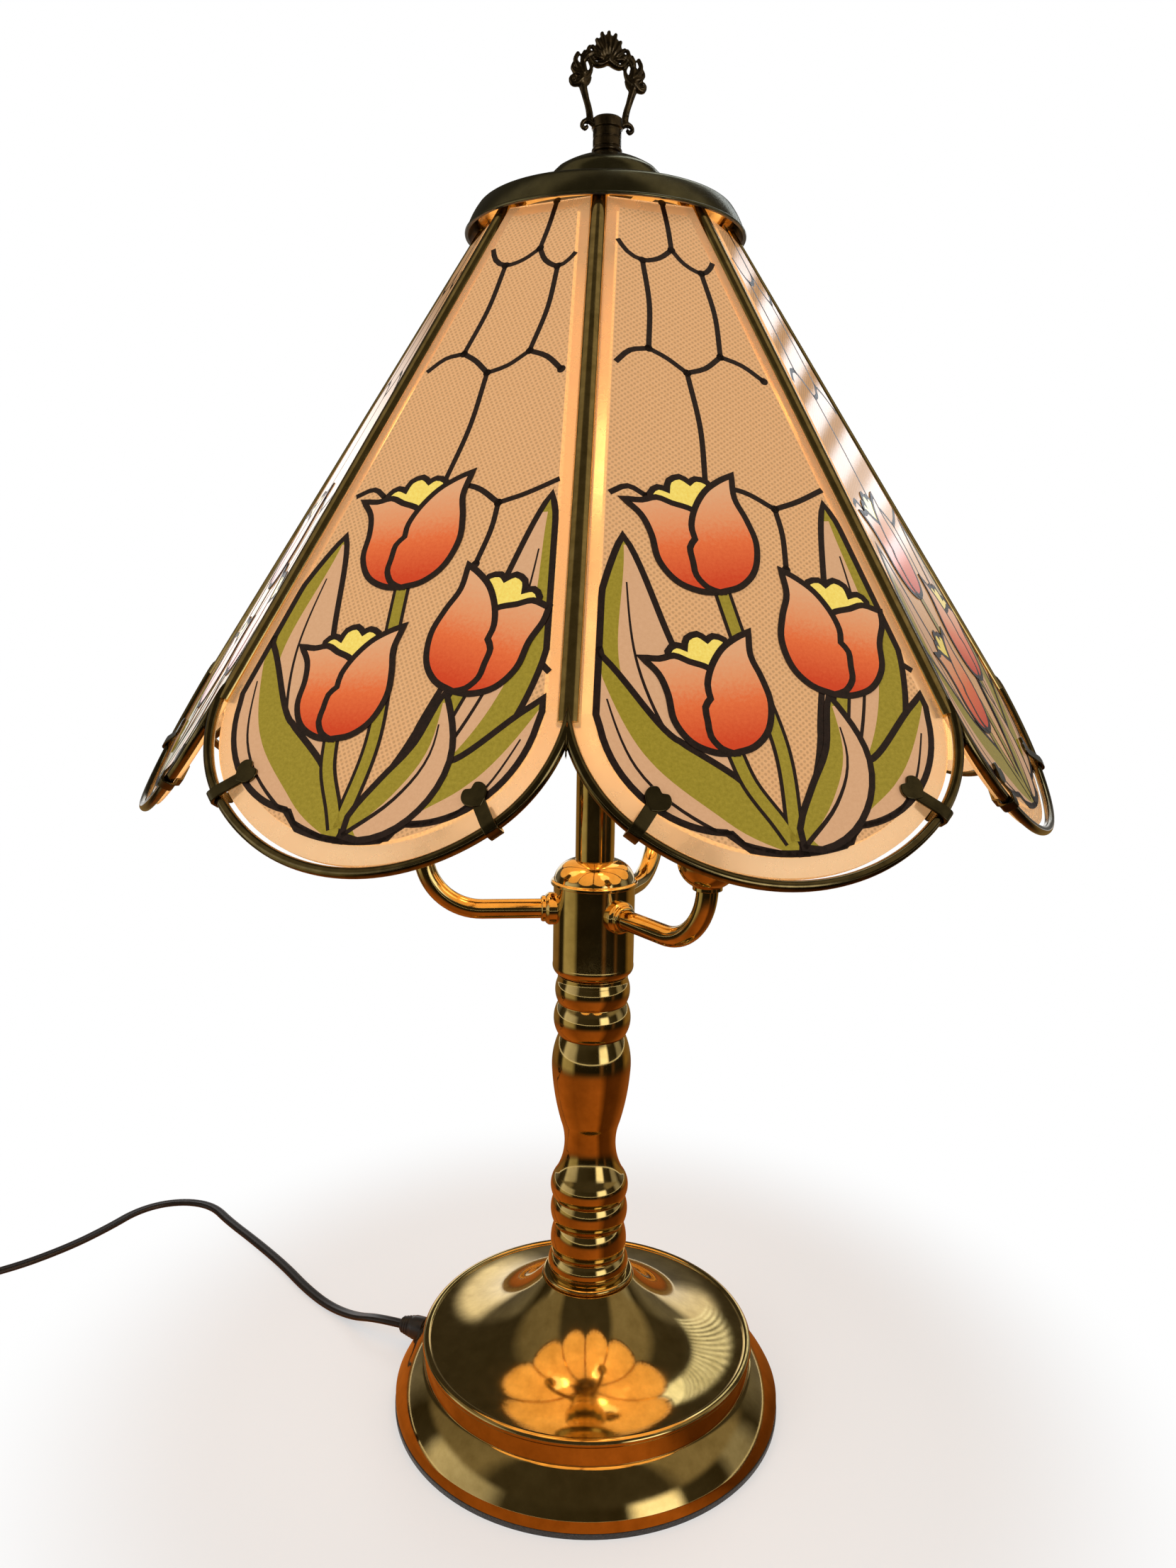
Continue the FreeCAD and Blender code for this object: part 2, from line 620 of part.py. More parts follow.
rear = Part.makeLoft([plug_section(0, 6.4, 6.2), plug_section(relief_len, 9.4, 8.6)], True, True)
grip = Part.makeLoft([plug_section(relief_len, 14.0, 12.0),
                      plug_section(relief_len + 10, plug_w - 2.0, plug_h - 1.2),
                      plug_section(relief_len + plug_len, plug_w, plug_h)], True, True)
keep("plug_body", rear.fuse(grip).removeSplitter())
blades = []
for s in (-1, 1):
    root = cord_end + last_run * (relief_len + plug_len) + side * (6.35 * s)
    corner = root - side * 0.75 - UP * 3.175
    wire = Part.makePolygon([corner, corner + side * 1.5, corner + side * 1.5 + UP * 6.35,
                             corner + UP * 6.35, corner])
    blades.append(Part.Face(wire).extrude(last_run * 15.9))
keep("plug_blades", *blades)

# ---------------------------------------------------------------- files
for name, shape in made.items():
    if not shape.isValid():
        print("not valid:", name)
    for solid in shape.Solids:
        if solid.Volume < 0:
            print("inside out:", name)
    shape.exportStep("parts/%s.step" % name)
print(len(made), "nodes")
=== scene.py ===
import math
import bpy
import bmesh
from mathutils import Matrix, Vector


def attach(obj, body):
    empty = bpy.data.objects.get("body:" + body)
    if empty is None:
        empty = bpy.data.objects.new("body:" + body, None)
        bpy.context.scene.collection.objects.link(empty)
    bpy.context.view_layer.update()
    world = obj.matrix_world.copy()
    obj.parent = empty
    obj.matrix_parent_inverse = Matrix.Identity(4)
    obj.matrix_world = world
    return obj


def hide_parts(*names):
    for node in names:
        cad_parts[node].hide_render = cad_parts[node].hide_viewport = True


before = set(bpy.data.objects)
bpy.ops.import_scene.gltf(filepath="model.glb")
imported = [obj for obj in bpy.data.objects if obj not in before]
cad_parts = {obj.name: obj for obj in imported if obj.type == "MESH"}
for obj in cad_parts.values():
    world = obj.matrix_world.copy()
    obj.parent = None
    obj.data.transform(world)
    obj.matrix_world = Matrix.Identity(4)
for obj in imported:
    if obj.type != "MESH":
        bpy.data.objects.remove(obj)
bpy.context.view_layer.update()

MM = 0.001
col = bpy.context.scene.collection
sc = bpy.context.scene
sc.view_settings.view_transform = "Standard"



def frame_at(x, y, z, origin):
    """Matrix with these axes and this origin."""
    return Matrix((*zip(x, y, z, origin), (0, 0, 0, 1)))


# --- camera
yaw, pitch, roll = (math.radians(a) for a in (-3.254, 9.179, 0.912))
right = Vector((math.cos(yaw), -math.sin(yaw), 0))
ahead = Vector((math.sin(yaw), math.cos(yaw), 0))
look = ahead * math.cos(pitch) - Vector((0, 0, math.sin(pitch)))
top = ahead * math.sin(pitch) + Vector((0, 0, math.cos(pitch)))
cam_x = right * math.cos(roll) + top * math.sin(roll)
cam_y = top * math.cos(roll) - right * math.sin(roll)
cam_at = Vector((0.022754, -0.457633, 0.342994))
cam = bpy.data.objects.new("camera", bpy.data.cameras.new("camera"))
cam.data.sensor_fit = "VERTICAL"
cam.data.sensor_height = 36
cam.data.lens = 1629.04 / 2212 * 36  # focal length and height of the picture in its pixels
cam.data.clip_start = 0.01
cam.matrix_world = frame_at(cam_x, cam_y, -look, cam_at)
col.objects.link(cam)
sc.camera = cam


def polar(r, az, z):
    a = math.radians(az)
    return Vector((r * math.sin(a), -r * math.cos(a), z))


# --- materials
def nodes_of(name):
    m = bpy.data.materials.new(name)
    m.use_nodes = True
    t = m.node_tree
    return m, t, t.nodes["Principled BSDF"]


def add(t, kind, **props):
    n = t.nodes.new(kind)
    for k, v in props.items():
        setattr(n, k, v)
    return n


def ramp(t, fac, stops):
    r = t.nodes.new("ShaderNodeValToRGB")
    while len(r.color_ramp.elements) < len(stops):
        r.color_ramp.elements.new(0.5)
    for e, (pos, c) in zip(r.color_ramp.elements, stops):
        e.position = pos
        e.color = (*c, 1) if len(c) == 3 else (c[0], c[0], c[0], 1)
    t.links.new(fac, r.inputs["Fac"])
    return r.outputs["Color"]


def calc(t, kind, a, b):
    """Math node on two sockets, or a socket and a number."""
    n = add(t, "ShaderNodeMath", operation=kind)
    t.links.new(a, n.inputs[0])
    if isinstance(b, (int, float)):
        n.inputs[1].default_value = b
    else:
        t.links.new(b, n.inputs[1])
    return n.outputs[0]


def remap(t, value, low, high, to_low=0.0, kind="SMOOTHSTEP"):
    n = add(t, "ShaderNodeMapRange", interpolation_type=kind)
    n.inputs["From Min"].default_value = low
    n.inputs["From Max"].default_value = high
    n.inputs["To Min"].default_value = to_low
    t.links.new(value, n.inputs["Value"])
    return n.outputs[0]


def blend_of(t, fac, a, b, kind="MIX"):
    n = add(t, "ShaderNodeMix", data_type="RGBA", blend_type=kind)
    for socket, v in (("Factor", fac), ("A", a), ("B", b)):
        if isinstance(v, bpy.types.NodeSocket):
            t.links.new(v, n.inputs[socket])
        else:
            n.inputs[socket].default_value = v
    return n.outputs["Result"]


def coords(t, scale=(1, 1, 1)):
    c = t.nodes.new("ShaderNodeTexCoord")
    m = t.nodes.new("ShaderNodeMapping")
    m.inputs["Scale"].default_value = scale
    t.links.new(c.outputs["Object"], m.inputs["Vector"])
    return m.outputs["Vector"]


def noise(t, vec, scale, detail=4, rough=0.5):
    n = t.nodes.new("ShaderNodeTexNoise")
    n.inputs["Scale"].default_value = scale
    n.inputs["Detail"].default_value = detail
    n.inputs["Roughness"].default_value = rough
    t.links.new(vec, n.inputs["Vector"])
    return n.outputs["Fac"]


def bump(t, height, strength, distance, shader):
    b = t.nodes.new("ShaderNodeBump")
    b.inputs["Strength"].default_value = strength
    b.inputs["Distance"].default_value = distance
    t.links.new(height, b.inputs["Height"])
    t.links.new(b.outputs["Normal"], shader.inputs["Normal"])


def metal(name, dark, light, rough_low, rough_high, wear=140, scratch=0.02, coat=0.3):
    m, t, p = nodes_of(name)
    v = coords(t)
    n = noise(t, v, wear, 5, 0.6)
    t.links.new(ramp(t, n, [(0.3, dark), (0.7, light)]), p.inputs["Base Color"])
    p.inputs["Metallic"].default_value = 1
    n2 = noise(t, v, wear * 0.35, 6, 0.65)
    t.links.new(ramp(t, n2, [(0.35, (rough_low,)), (0.75, (rough_high,))]), p.inputs["Roughness"])
    p.inputs["Coat Weight"].default_value = coat
    p.inputs["Coat Roughness"].default_value = 0.06
    n3 = noise(t, coords(t, (1, 1, 0.25)), 900, 3, 0.7)
    bump(t, n3, scratch, 0.0002, p)
    return m


brass = metal("polished_brass", (0.50, 0.34, 0.105), (0.68, 0.48, 0.17), 0.05, 0.12, coat=0.15)
came_brass = metal("came_brass", (0.42, 0.29, 0.09), (0.66, 0.48, 0.18), 0.09, 0.20, 260, coat=0.1)
rod_brass = metal("rod_brass", (0.13, 0.095, 0.035), (0.26, 0.19, 0.075), 0.10, 0.20, 260,
                  coat=0.1)
clip_brass = metal("clip_brass", (0.08, 0.062, 0.027), (0.15, 0.118, 0.052), 0.18, 0.32, 240,
                   0.04, 0.1)
dark_brass = metal("dark_brass", (0.15, 0.13, 0.06), (0.23, 0.20, 0.095), 0.20, 0.30, 180,
                   coat=0.15)
antique = metal("antique_brass", (0.045, 0.030, 0.014), (0.16, 0.105, 0.045), 0.24, 0.42, 420, 0.15)
steel = metal("zinc_steel", (0.50, 0.51, 0.50), (0.66, 0.66, 0.63), 0.25, 0.42, 200, 0.05, 0.0)
nickel = metal("nickel_blade", (0.66, 0.62, 0.54), (0.78, 0.74, 0.66), 0.2, 0.32, 300, 0.05, 0.0)


def plain(name, a, b, rough, grain, height, distance=0.0002, sheen=0.0):
    m, t, p = nodes_of(name)
    v = coords(t)
    n = noise(t, v, grain, 6, 0.6)
    t.links.new(ramp(t, n, [(0.3, a), (0.7, b)]), p.inputs["Base Color"])
    t.links.new(ramp(t, n, [(0.2, (rough * 0.8,)), (0.8, (min(1, rough * 1.15),))]),
                p.inputs["Roughness"])
    p.inputs["Sheen Weight"].default_value = sheen
    bump(t, n, height, distance, p)
    return m


iron = plain("cast_iron", (0.07, 0.07, 0.07), (0.14, 0.135, 0.13), 0.6, 300, 0.6)
felt = plain("felt", (0.018, 0.016, 0.015), (0.05, 0.045, 0.04), 0.95, 1500, 0.9, 0.0004, 0.5)
phenolic = plain("phenolic", (0.02, 0.018, 0.016), (0.035, 0.03, 0.026), 0.35, 500, 0.1)
vinyl = plain("cord_vinyl", (0.010, 0.007, 0.006), (0.022, 0.015, 0.011), 0.34, 900, 0.15)
tie_m = plain("tie_vinyl", (0.03, 0.03, 0.03), (0.06, 0.06, 0.055), 0.5, 700, 0.3)


# --- mesh helpers
def new_object(name, mesh, body, mat=None, repl=(), slot=None):
    o = bpy.data.objects.new(name, mesh)
    col.objects.link(o)
    if mat is not None:
        mesh.materials.append(mat)
    if repl:
        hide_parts(*repl)
    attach(o, body)
    return o


def arc_points(a, m, b, n):
    """n points after a, on the circle through a, m and b."""
    ax, ay = a
    bx, by = m
    cx, cy = b
    d = 2 * (ax * (by - cy) + bx * (cy - ay) + cx * (ay - by))
    ux = ((ax * ax + ay * ay) * (by - cy) + (bx * bx + by * by) * (cy - ay)
          + (cx * cx + cy * cy) * (ay - by)) / d
    uy = ((ax * ax + ay * ay) * (cx - bx) + (bx * bx + by * by) * (ax - cx)
          + (cx * cx + cy * cy) * (bx - ax)) / d
    r = math.hypot(ax - ux, ay - uy)
    t0 = math.atan2(ay - uy, ax - ux)
    t1 = math.atan2(by - uy, bx - ux)
    t2 = math.atan2(cy - uy, cx - ux)
    two = 2 * math.pi
    if (t1 - t0) % two > (t2 - t0) % two:
        sweep = -((t0 - t2) % two)
    else:
        sweep = (t2 - t0) % two
    return [(ux + r * math.cos(t0 + sweep * i / n), uy + r * math.sin(t0 + sweep * i / n))
            for i in range(1, n + 1)]


def trace(steps, fine=14):
    pts = [steps[0]]
    for s in steps[1:]:
        if len(s) == 4:
            pts.extend(arc_points(pts[-1], s[:2], s[2:], fine))
        else:
            pts.append(s)
    return pts


def circle(r, n):
    return [(r * math.cos(2 * math.pi * i / n), r * math.sin(2 * math.pi * i / n))
            for i in range(n)]


def bridge(bm, a, b):
    """Faces between two closed rings with as many points."""
    n = len(a)
    return [bm.faces.new((a[i], a[(i + 1) % n], b[(i + 1) % n], b[i])) for i in range(n)]


def to_mesh(bm, name):
    me = bpy.data.meshes.new(name)
    bm.to_mesh(me)
    bm.free()
    return me


def finish_mesh(bm, name, sharp=0.55):
    bmesh.ops.remove_doubles(bm, verts=bm.verts, dist=1e-6)
    bmesh.ops.recalc_face_normals(bm, faces=bm.faces)
    for f in bm.faces:
        f.smooth = True
    for e in bm.edges:
        if len(e.link_faces) == 2 and e.calc_face_angle(0) > sharp:
            e.smooth = False
    return to_mesh(bm, name)


def bevel(o, width, angle):
    b = o.modifiers.new("edge", "BEVEL")
    b.width = width * MM
    b.segments = 2
    b.limit_method = "ANGLE"
    b.angle_limit = angle
    return b


def lathe(name, steps, mat, body, repl=(), at=(0, 0), segs=120, edge=0.25, slot=None, fine=14,
          matrix=None):
    pts = trace(steps, fine)
    bm = bmesh.new()
    rings = []
    for r, z in pts:
        if r < 1e-6:
            rings.append([bm.verts.new((0, 0, z * MM))])
        else:
            rings.append([bm.verts.new((x, y, z * MM)) for x, y in circle(r * MM, segs)])
    for a, b in zip(rings, rings[1:] + rings[:1]):
        if len(a) > 1 and len(b) > 1:
            bridge(bm, a, b)
            continue
        for i in range(segs):
            j = (i + 1) % segs
            if len(b) > 1:
                bm.faces.new((a[0], b[i], b[j]))
            elif len(a) > 1:
                bm.faces.new((a[i], a[j], b[0]))
    me = finish_mesh(bm, name)
    me.transform(matrix if matrix is not None else Matrix.Translation((at[0] * MM, at[1] * MM, 0)))
    o = new_object(name, me, body, mat, repl, slot)
    if edge:
        bevel(o, edge, 0.6).harden_normals = True
    return o


def turned(name, node, steps, **more):
    """Polished brass turning of the lamp, which stands for its node."""
    return lathe(name, steps, brass, "lamp", (node,), slot="polished_brass", **more)


def sweep(name, points, section, mat, body, repl=(), slot=None, up=Vector((0, 0, 1)), turn=None):
    """Section (x sideways, y upwards, mm) carried along points (mm)."""
    bm = bmesh.new()
    rings = []
    n = len(points)
    for i, p in enumerate(points):
        way = (points[min(n - 1, i + 1)] - points[max(0, i - 1)]).normalized()
        s = way.cross(up).normalized()
        u = s.cross(way).normalized()
        if turn:
            q = Matrix.Rotation(turn[i], 3, way)
            s, u = q @ s, q @ u
        rings.append([bm.verts.new((p + s * x + u * y) * MM) for x, y in section])
    for a, b in zip(rings, rings[1:]):
        bridge(bm, a, b)
    bm.faces.new(rings[0])
    bm.faces.new(rings[-1])
    return new_object(name, finish_mesh(bm, name, 0.9), body, mat, repl, slot)


# --- cord
bush_az = -106.0
bush_dir = polar(1, bush_az, 0)
exit_pt = polar(90.5, bush_az, 9.5)


def heading(deg):
    return Vector((math.cos(math.radians(deg)), math.sin(math.radians(deg)), 0))


FLAT = 1.35
route = [exit_pt, exit_pt + bush_dir * 13, Vector((-112.5, 37.0, 3.6)),
         Vector((-127.5, 47.0, FLAT)),
         Vector((-143, 60.5, FLAT)), Vector((-160, 79, FLAT)), Vector((-182, 99.5, FLAT)),
         Vector((-204, 118.5, FLAT))]
for step, angle in ((19, 134), (15.5, 163), (15.5, 192), (15.5, 221), (18, 247), (24, 240),
                    (30, 228), (33, 213), (32, 200)):
    p = route[-1] + heading(angle) * step
    p.z = FLAT
    route.append(p)
route[-2].z = 2.2
route[-1].z = 3.3
last = heading(200)
to_centre = Vector((last.y, -last.x, 0))
turns, pitch_c, mean_c = 8, 5.5, 28.5
out_c = mean_c + pitch_c * turns / 4
in_c = mean_c - pitch_c * turns / 4
centre = route[-1] + to_centre * out_c
start_a = math.atan2(-to_centre.y, -to_centre.x)
per = 16
grow = 1 / math.cos(math.pi / per)
for i in range(1, turns * per):
    off = i / per - turns / 2
    rr = (in_c + pitch_c * abs(off)) * (0.5 + grow / 2)
    a = start_a - 2 * math.pi * i / per
    climb = min(max((off + 0.25) / 0.5, 0), 1)
    h = 3.3 + 5.5 * (3 * climb ** 2 - 2 * climb ** 3)
    route.append(Vector((centre.x + rr * math.cos(a), centre.y + rr * math.sin(a), h)))
coil_end = centre - to_centre * out_c
coil_end.z = 8.8
cord_end = coil_end + last * 30
route.extend([coil_end, coil_end + last * 15, cord_end])
curve = bpy.data.curves.new("cord_route", "CURVE")
curve.dimensions = "3D"
sp = curve.splines.new("NURBS")
sp.points.add(len(route) - 1)
for q, p in zip(sp.points, route):
    q.co = (p.x * MM, p.y * MM, p.z * MM, 1)
sp.order_u = 3
sp.use_endpoint_u = True
sp.resolution_u = 6
tmp = bpy.data.objects.new("cord_route", curve)
col.objects.link(tmp)
line = bpy.data.meshes.new_from_object(tmp)
path = [Vector(v.co) / MM for v in line.vertices]
bpy.data.objects.remove(tmp)
bpy.data.curves.remove(curve)
bpy.data.meshes.remove(line)
# flat twin lead: two cores side by side with a shallow groove between them
twin = []
for sx in (1, -1):
    for i in range(9):
        a = math.radians(-110 + 220 * i / 8) if sx == 1 else math.radians(70 + 220 * i / 8)
        twin.append((sx * 1.22 + 1.27 * math.cos(a), 1.25 * math.sin(a)))
far = [i for i, p in enumerate(path) if p.x < -200]


def lay(i):
    """The lead lies flat on the table and stands on edge in the coil."""
    if not far or i < far[0]:
        return 0.0
    k = min(max((path[i].z - FLAT) / (3.3 - FLAT), 0), 1)
    return math.radians(90) * (3 * k * k - 2 * k ** 3)


cord = sweep("mains_cord", path, twin, vinyl, "lamp", ("cord", "cord_coil"), "cord_vinyl",
             turn=[lay(i) for i in range(len(path))])

# --- base and column
turned("base_shell_spun", "base_shell", [
    (5.2, 56), (5.2, 54.6), (18.2, 54.5), (25.8, 45.8), (39, 36.3), (66.5, 28.1), (68.4, 27.6),
    (68.7, 18.9), (76.2, 13), (80.7, 6.2), (80.7, 2.05), (82.2, 2.05), (82.2, 6.6),
    (77.6, 13.9, 71.2, 20.0), (70.3, 20.35), (69.9, 27.4), (70.75, 29.1, 69.2, 30.65),
    (67.9, 30.45, 67.3, 29.7), (40.5, 37.5, 19.6, 56.0)], segs=192, fine=24)
turned("neck_ring_turned", "neck_ring", [
    (5.1, 56), (18.2, 56), (19.2, 57.2, 18.2, 58.4), (5.1, 58.4)], edge=0.1)
turned("column_lower_turned", "column_lower", [
    (5.1, 58.4), (16.4, 58.4), (17.1, 62.5, 15.4, 67.0), (16.1, 73.5, 14.6, 80.0),
    (16.3, 86.2, 15.0, 92.0), (5.1, 92.0)])
turned("column_vase_turned", "column_vase", [
    (5.1, 92.0), (15.0, 92.0), (16.4, 97.4, 14.3, 103.0), (10.9, 114.2, 12.5, 126.0),
    (15.2, 138.0, 16.5, 150.0), (15.8, 157.8, 13.8, 164.0), (5.1, 164.0)], edge=0, fine=24)
turned("column_upper_turned", "column_upper", [
    (5.1, 164.0), (13.8, 164.0), (16.0, 171.3, 14.1, 178.0), (15.5, 183.0, 14.5, 188.0),
    (14.5, 190.0), (5.1, 190.0)])
turned("hub_turned", "hub_body", [
    (5.1, 190.0), (13.2, 190.0), (15.8, 191.4, 16.6, 195.0), (16.6, 228.0), (14.6, 228.0),
    (14.6, 194.0), (5.1, 194.0)])
turned("hub_dome_spun", "hub_dome", [
    (3.1, 238.0), (8.3, 238.0), (14.2, 234.9, 16.6, 229.8), (17.7, 229.3), (17.7, 228.0),
    (14.4, 228.0), (12.2, 233.0), (7.6, 235.8), (3.1, 235.8)])
turned("stem_drawn", "stem_tube", [(6.7, 238.0), (7.9, 238.0), (7.9, 476.0), (6.7, 476.0)], segs=64)

# --- arms, cups, sockets, bulbs
bulb_m, t, p = nodes_of("bulb_glass")
p.inputs["Base Color"].default_value = (1, 0.93, 0.8, 1)
p.inputs["Roughness"].default_value = 0.3
v = coords(t)
n = noise(t, v, 60, 3)
t.links.new(ramp(t, n, [(0.3, (1.0, 0.62, 0.26)), (0.7, (1.0, 0.74, 0.40))]),
            p.inputs["Emission Color"])
p.inputs["Emission Strength"].default_value = 1.8
ARM_AZ = (-81.2, 38.8, 158.8)
HUB_R, REACH, ARM_Z, BEND = 13.2, 69.0, 217.7, 23.5
straight = REACH - BEND
for i, az in enumerate(ARM_AZ, 1):
    out = polar(1, az, 0)
    pts = [polar(HUB_R + (straight - HUB_R) * j / 4, az, ARM_Z) for j in range(5)]
    pts += [polar(straight + BEND * math.sin(math.radians(a)), az,
                  ARM_Z + BEND * (1 - math.cos(math.radians(a)))) for a in range(5, 91, 5)]
    pts.append(polar(REACH, az, 246.5))
    side = out.cross(Vector((0, 0, 1)))
    sweep("arm_%d_tube" % i, pts, circle(4.0, 32), brass, "lamp", ("arm_%d" % i,),
          "polished_brass", up=side)
    q = out.to_track_quat("Z", "Y").to_matrix().to_4x4()
    q.translation = Vector((0, 0, ARM_Z)) * MM
    lathe("arm_%d_collar" % i, [(4.0, 15.2), (6.6, 15.2), (6.6, 18.6), (5.9, 19.6), (5.3, 19.9),
          (5.3, 21.2), (4.9, 21.7), (4.0, 21.8)], brass, "lamp", (), segs=64,
          slot="polished_brass", matrix=q)
    c = polar(REACH, az, 0)
    lathe("cup_%d_spun" % i, [(4.05, 240.4), (5.4, 240.4), (5.4, 241.8), (9.2, 245.0, 11.2, 251.0),
          (12.6, 253.4), (11.6, 253.9), (10.2, 251.6), (9.6, 248.4), (9.3, 246.6),
          (4.05, 246.6)], brass, "lamp", ("cup_%d" % i,), (c.x, c.y), 72, 0.15, "polished_brass")
    lathe("socket_%d_moulded" % i, [(0, 258), (0, 252), (4.6, 252), (4.6, 246.7), (8, 246.7),
          (9.2, 248.1), (9.2, 262), (8.8, 262.4), (8.8, 263.4), (9.2, 263.8), (9.2, 274),
          (8.2, 276), (6.2, 276), (6.2, 258)], phenolic, "lamp", ("socket_%d" % i,),
          (c.x, c.y), 64, 0.2, "black_plastic")
    lathe("bulb_%d_blown" % i, [(0, 258), (2.4, 258), (5.9, 261), (5.9, 277), (6.6, 277.6),
          (16.3, 291, 17.5, 304), (13.5, 329, 3.4, 346), (1.6, 350.4), (0.8, 352), (0, 352)],
          bulb_m, "bulb_body_%d" % i, ("bulb_%d" % i,), (c.x, c.y), 48, 0, "bulb_glass")

# --- shade: frame of one panel
SLOPE = math.radians(30.95)
AZ = math.radians(22.5)
across = Vector((math.cos(AZ), math.sin(AZ), 0))
flat_out = Vector((math.sin(AZ), -math.cos(AZ), 0))
down = flat_out * math.sin(SLOPE) - Vector((0, 0, math.cos(SLOPE)))
inward = -(flat_out * math.cos(SLOPE) + Vector((0, 0, math.sin(SLOPE))))
slope_top = flat_out * 47.3 + Vector((0, 0, 474.3))
panel = frame_at(across, down, inward, slope_top * MM)


def spin(k):
    return Matrix.Rotation(math.radians(45 * k), 4, "Z")


VAL, HALF, DEPTH, R1, TOP_HALF = 190.6, 60.2, 48.9, 42.0, 19.6
TAN = math.tan(math.radians(12))
A1 = HALF - R1
R2 = (A1 ** 2 + DEPTH ** 2 - R1 ** 2) / (2 * (DEPTH - R1))
JOIN = math.atan2(R2 - DEPTH, A1)


def arch(inset, n=14):
    """Points of the arch from the right valley to the left one."""
    out = []
    for i in range(n):
        a = JOIN * i / n
        out.append((A1 + (R1 - inset) * math.cos(a), VAL + (R1 - inset) * math.sin(a)))
    for i in range(n + 1):
        a = JOIN + (math.pi / 2 - JOIN) * i / n
        out.append(((R2 - inset) * math.cos(a), VAL + DEPTH - R2 + (R2 - inset) * math.sin(a)))
    return out + [(-u, w) for u, w in reversed(out[:-1])]


def pane_outline(side, low, top_v, n=14):
    knee = (HALF - low + side - TOP_HALF) / TAN
    top_u = TOP_HALF + top_v * TAN - side
    pts = [(-top_u, top_v), (top_u, top_v)]
    for i in range(1, 9):
        v0 = top_v + (knee - top_v) * i / 8
        pts.append((TOP_HALF + v0 * TAN - side, v0))
    pts += arch(low, n)
    for i in range(8, 0, -1):
        v0 = top_v + (knee - top_v) * i / 8
        pts.append((-(TOP_HALF + v0 * TAN - side), v0))
    return pts


# --- print on the glass
def uv_of(t, layer):
    n = add(t, "ShaderNodeUVMap")
    n.uv_map = layer
    return n.outputs["UV"]


def glow(name, colours, strength, along=False, grain=0.35, dots=0.0, back=None):
    """Fired enamel print with a painted glow standing for the bulbs' light behind it: a ramp down
    the shape, speckle, a dot screen.
    """
    m, t, p = nodes_of(name)
    v = uv_of(t, "panel")
    n = noise(t, v, 90, 6, 0.75)
    fac = n
    if along:
        sep = add(t, "ShaderNodeSeparateXYZ")
        t.links.new(uv_of(t, "local"), sep.inputs[0])
        mix = add(t, "ShaderNodeMath", operation="MULTIPLY_ADD")
        t.links.new(n, mix.inputs[0])
        mix.inputs[1].default_value = grain
        t.links.new(sep.outputs["Y"], mix.inputs[2])
        fac = calc(t, "SUBTRACT", mix.outputs[0], grain / 2)
    c = ramp(t, fac, colours)
    if dots:
        rot = add(t, "ShaderNodeMapping")
        rot.inputs["Rotation"].default_value = (0, 0, math.radians(33))
        t.links.new(v, rot.inputs["Vector"])
        grid = add(t, "ShaderNodeTexVoronoi", feature="F1", voronoi_dimensions="2D")
        grid.inputs["Scale"].default_value = 100 / dots
        grid.inputs["Randomness"].default_value = 0.0
        t.links.new(rot.outputs[0], grid.inputs["Vector"])
        spot = ramp(t, grid.outputs["Distance"], [(0.22, (0.72,)), (0.40, (1.0,))])
        c = blend_of(t, 1, c, spot, "MULTIPLY")
    if back is None:
        t.links.new(c, p.inputs["Base Color"])
    else:
        p.inputs["Base Color"].default_value = back
    # The emission is painted glow: the print colour shown as if lit by the bulbs inside the shade.
    t.links.new(c, p.inputs["Emission Color"])
    p.inputs["Emission Strength"].default_value = strength
    p.inputs["Roughness"].default_value = 0.045
    bump(t, n, 0.03, 0.0001, p)
    m.cycles.emission_sampling = "NONE"
    return m


ground_m = glow("print_ground", [(0.35, (0.66, 0.345, 0.145)), (0.7, (0.76, 0.415, 0.19))], 0.42,
                dots=1.4)
lead_m = plain("print_leading", (0.014, 0.006, 0.004), (0.035, 0.014, 0.008), 0.3, 700, 0.1)
petal_m = glow("print_petal", [(0.12, (0.70, 0.35, 0.17)), (0.38, (0.72, 0.26, 0.105)),
                               (0.58, (0.72, 0.14, 0.038)), (0.92, (0.58, 0.05, 0.012))], 0.42,
               True, 0.4)
leaf_m = glow("print_leaf", [(0.3, (0.25, 0.185, 0.014)), (0.7, (0.38, 0.28, 0.03))], 0.34)
pale_m = glow("print_leaf_pale", [(0.3, (0.70, 0.40, 0.215)), (0.8, (0.62, 0.33, 0.165))], 0.35)
# Inner face of the panes: a stronger painted glow, standing for the bulbs lighting it from inside,
# over a dark base colour.
back_m = glow("print_back", [(0.35, (0.90, 0.50, 0.16)), (0.7, (0.98, 0.60, 0.23))], 1.2, dots=1.4,
              back=(0.34, 0.19, 0.08, 1))
gold_m = glow("print_centre", [(0.3, (0.72, 0.50, 0.07)), (0.7, (0.86, 0.68, 0.16))], 0.5)


# --- flat art helpers
def spline(p0, p1, p2, p3, step):
    """Points of a Catmull-Rom span from p1 up to p2, about a step apart."""
    m = max(2, int((p2 - p1).length / step))
    return [0.5 * ((2 * p1) + (p2 - p0) * t + (2 * p0 - 5 * p1 + 4 * p2 - p3) * t * t
                   + (3 * p1 - p0 - 3 * p2 + p3) * t ** 3) for t in (j / m for j in range(m))]


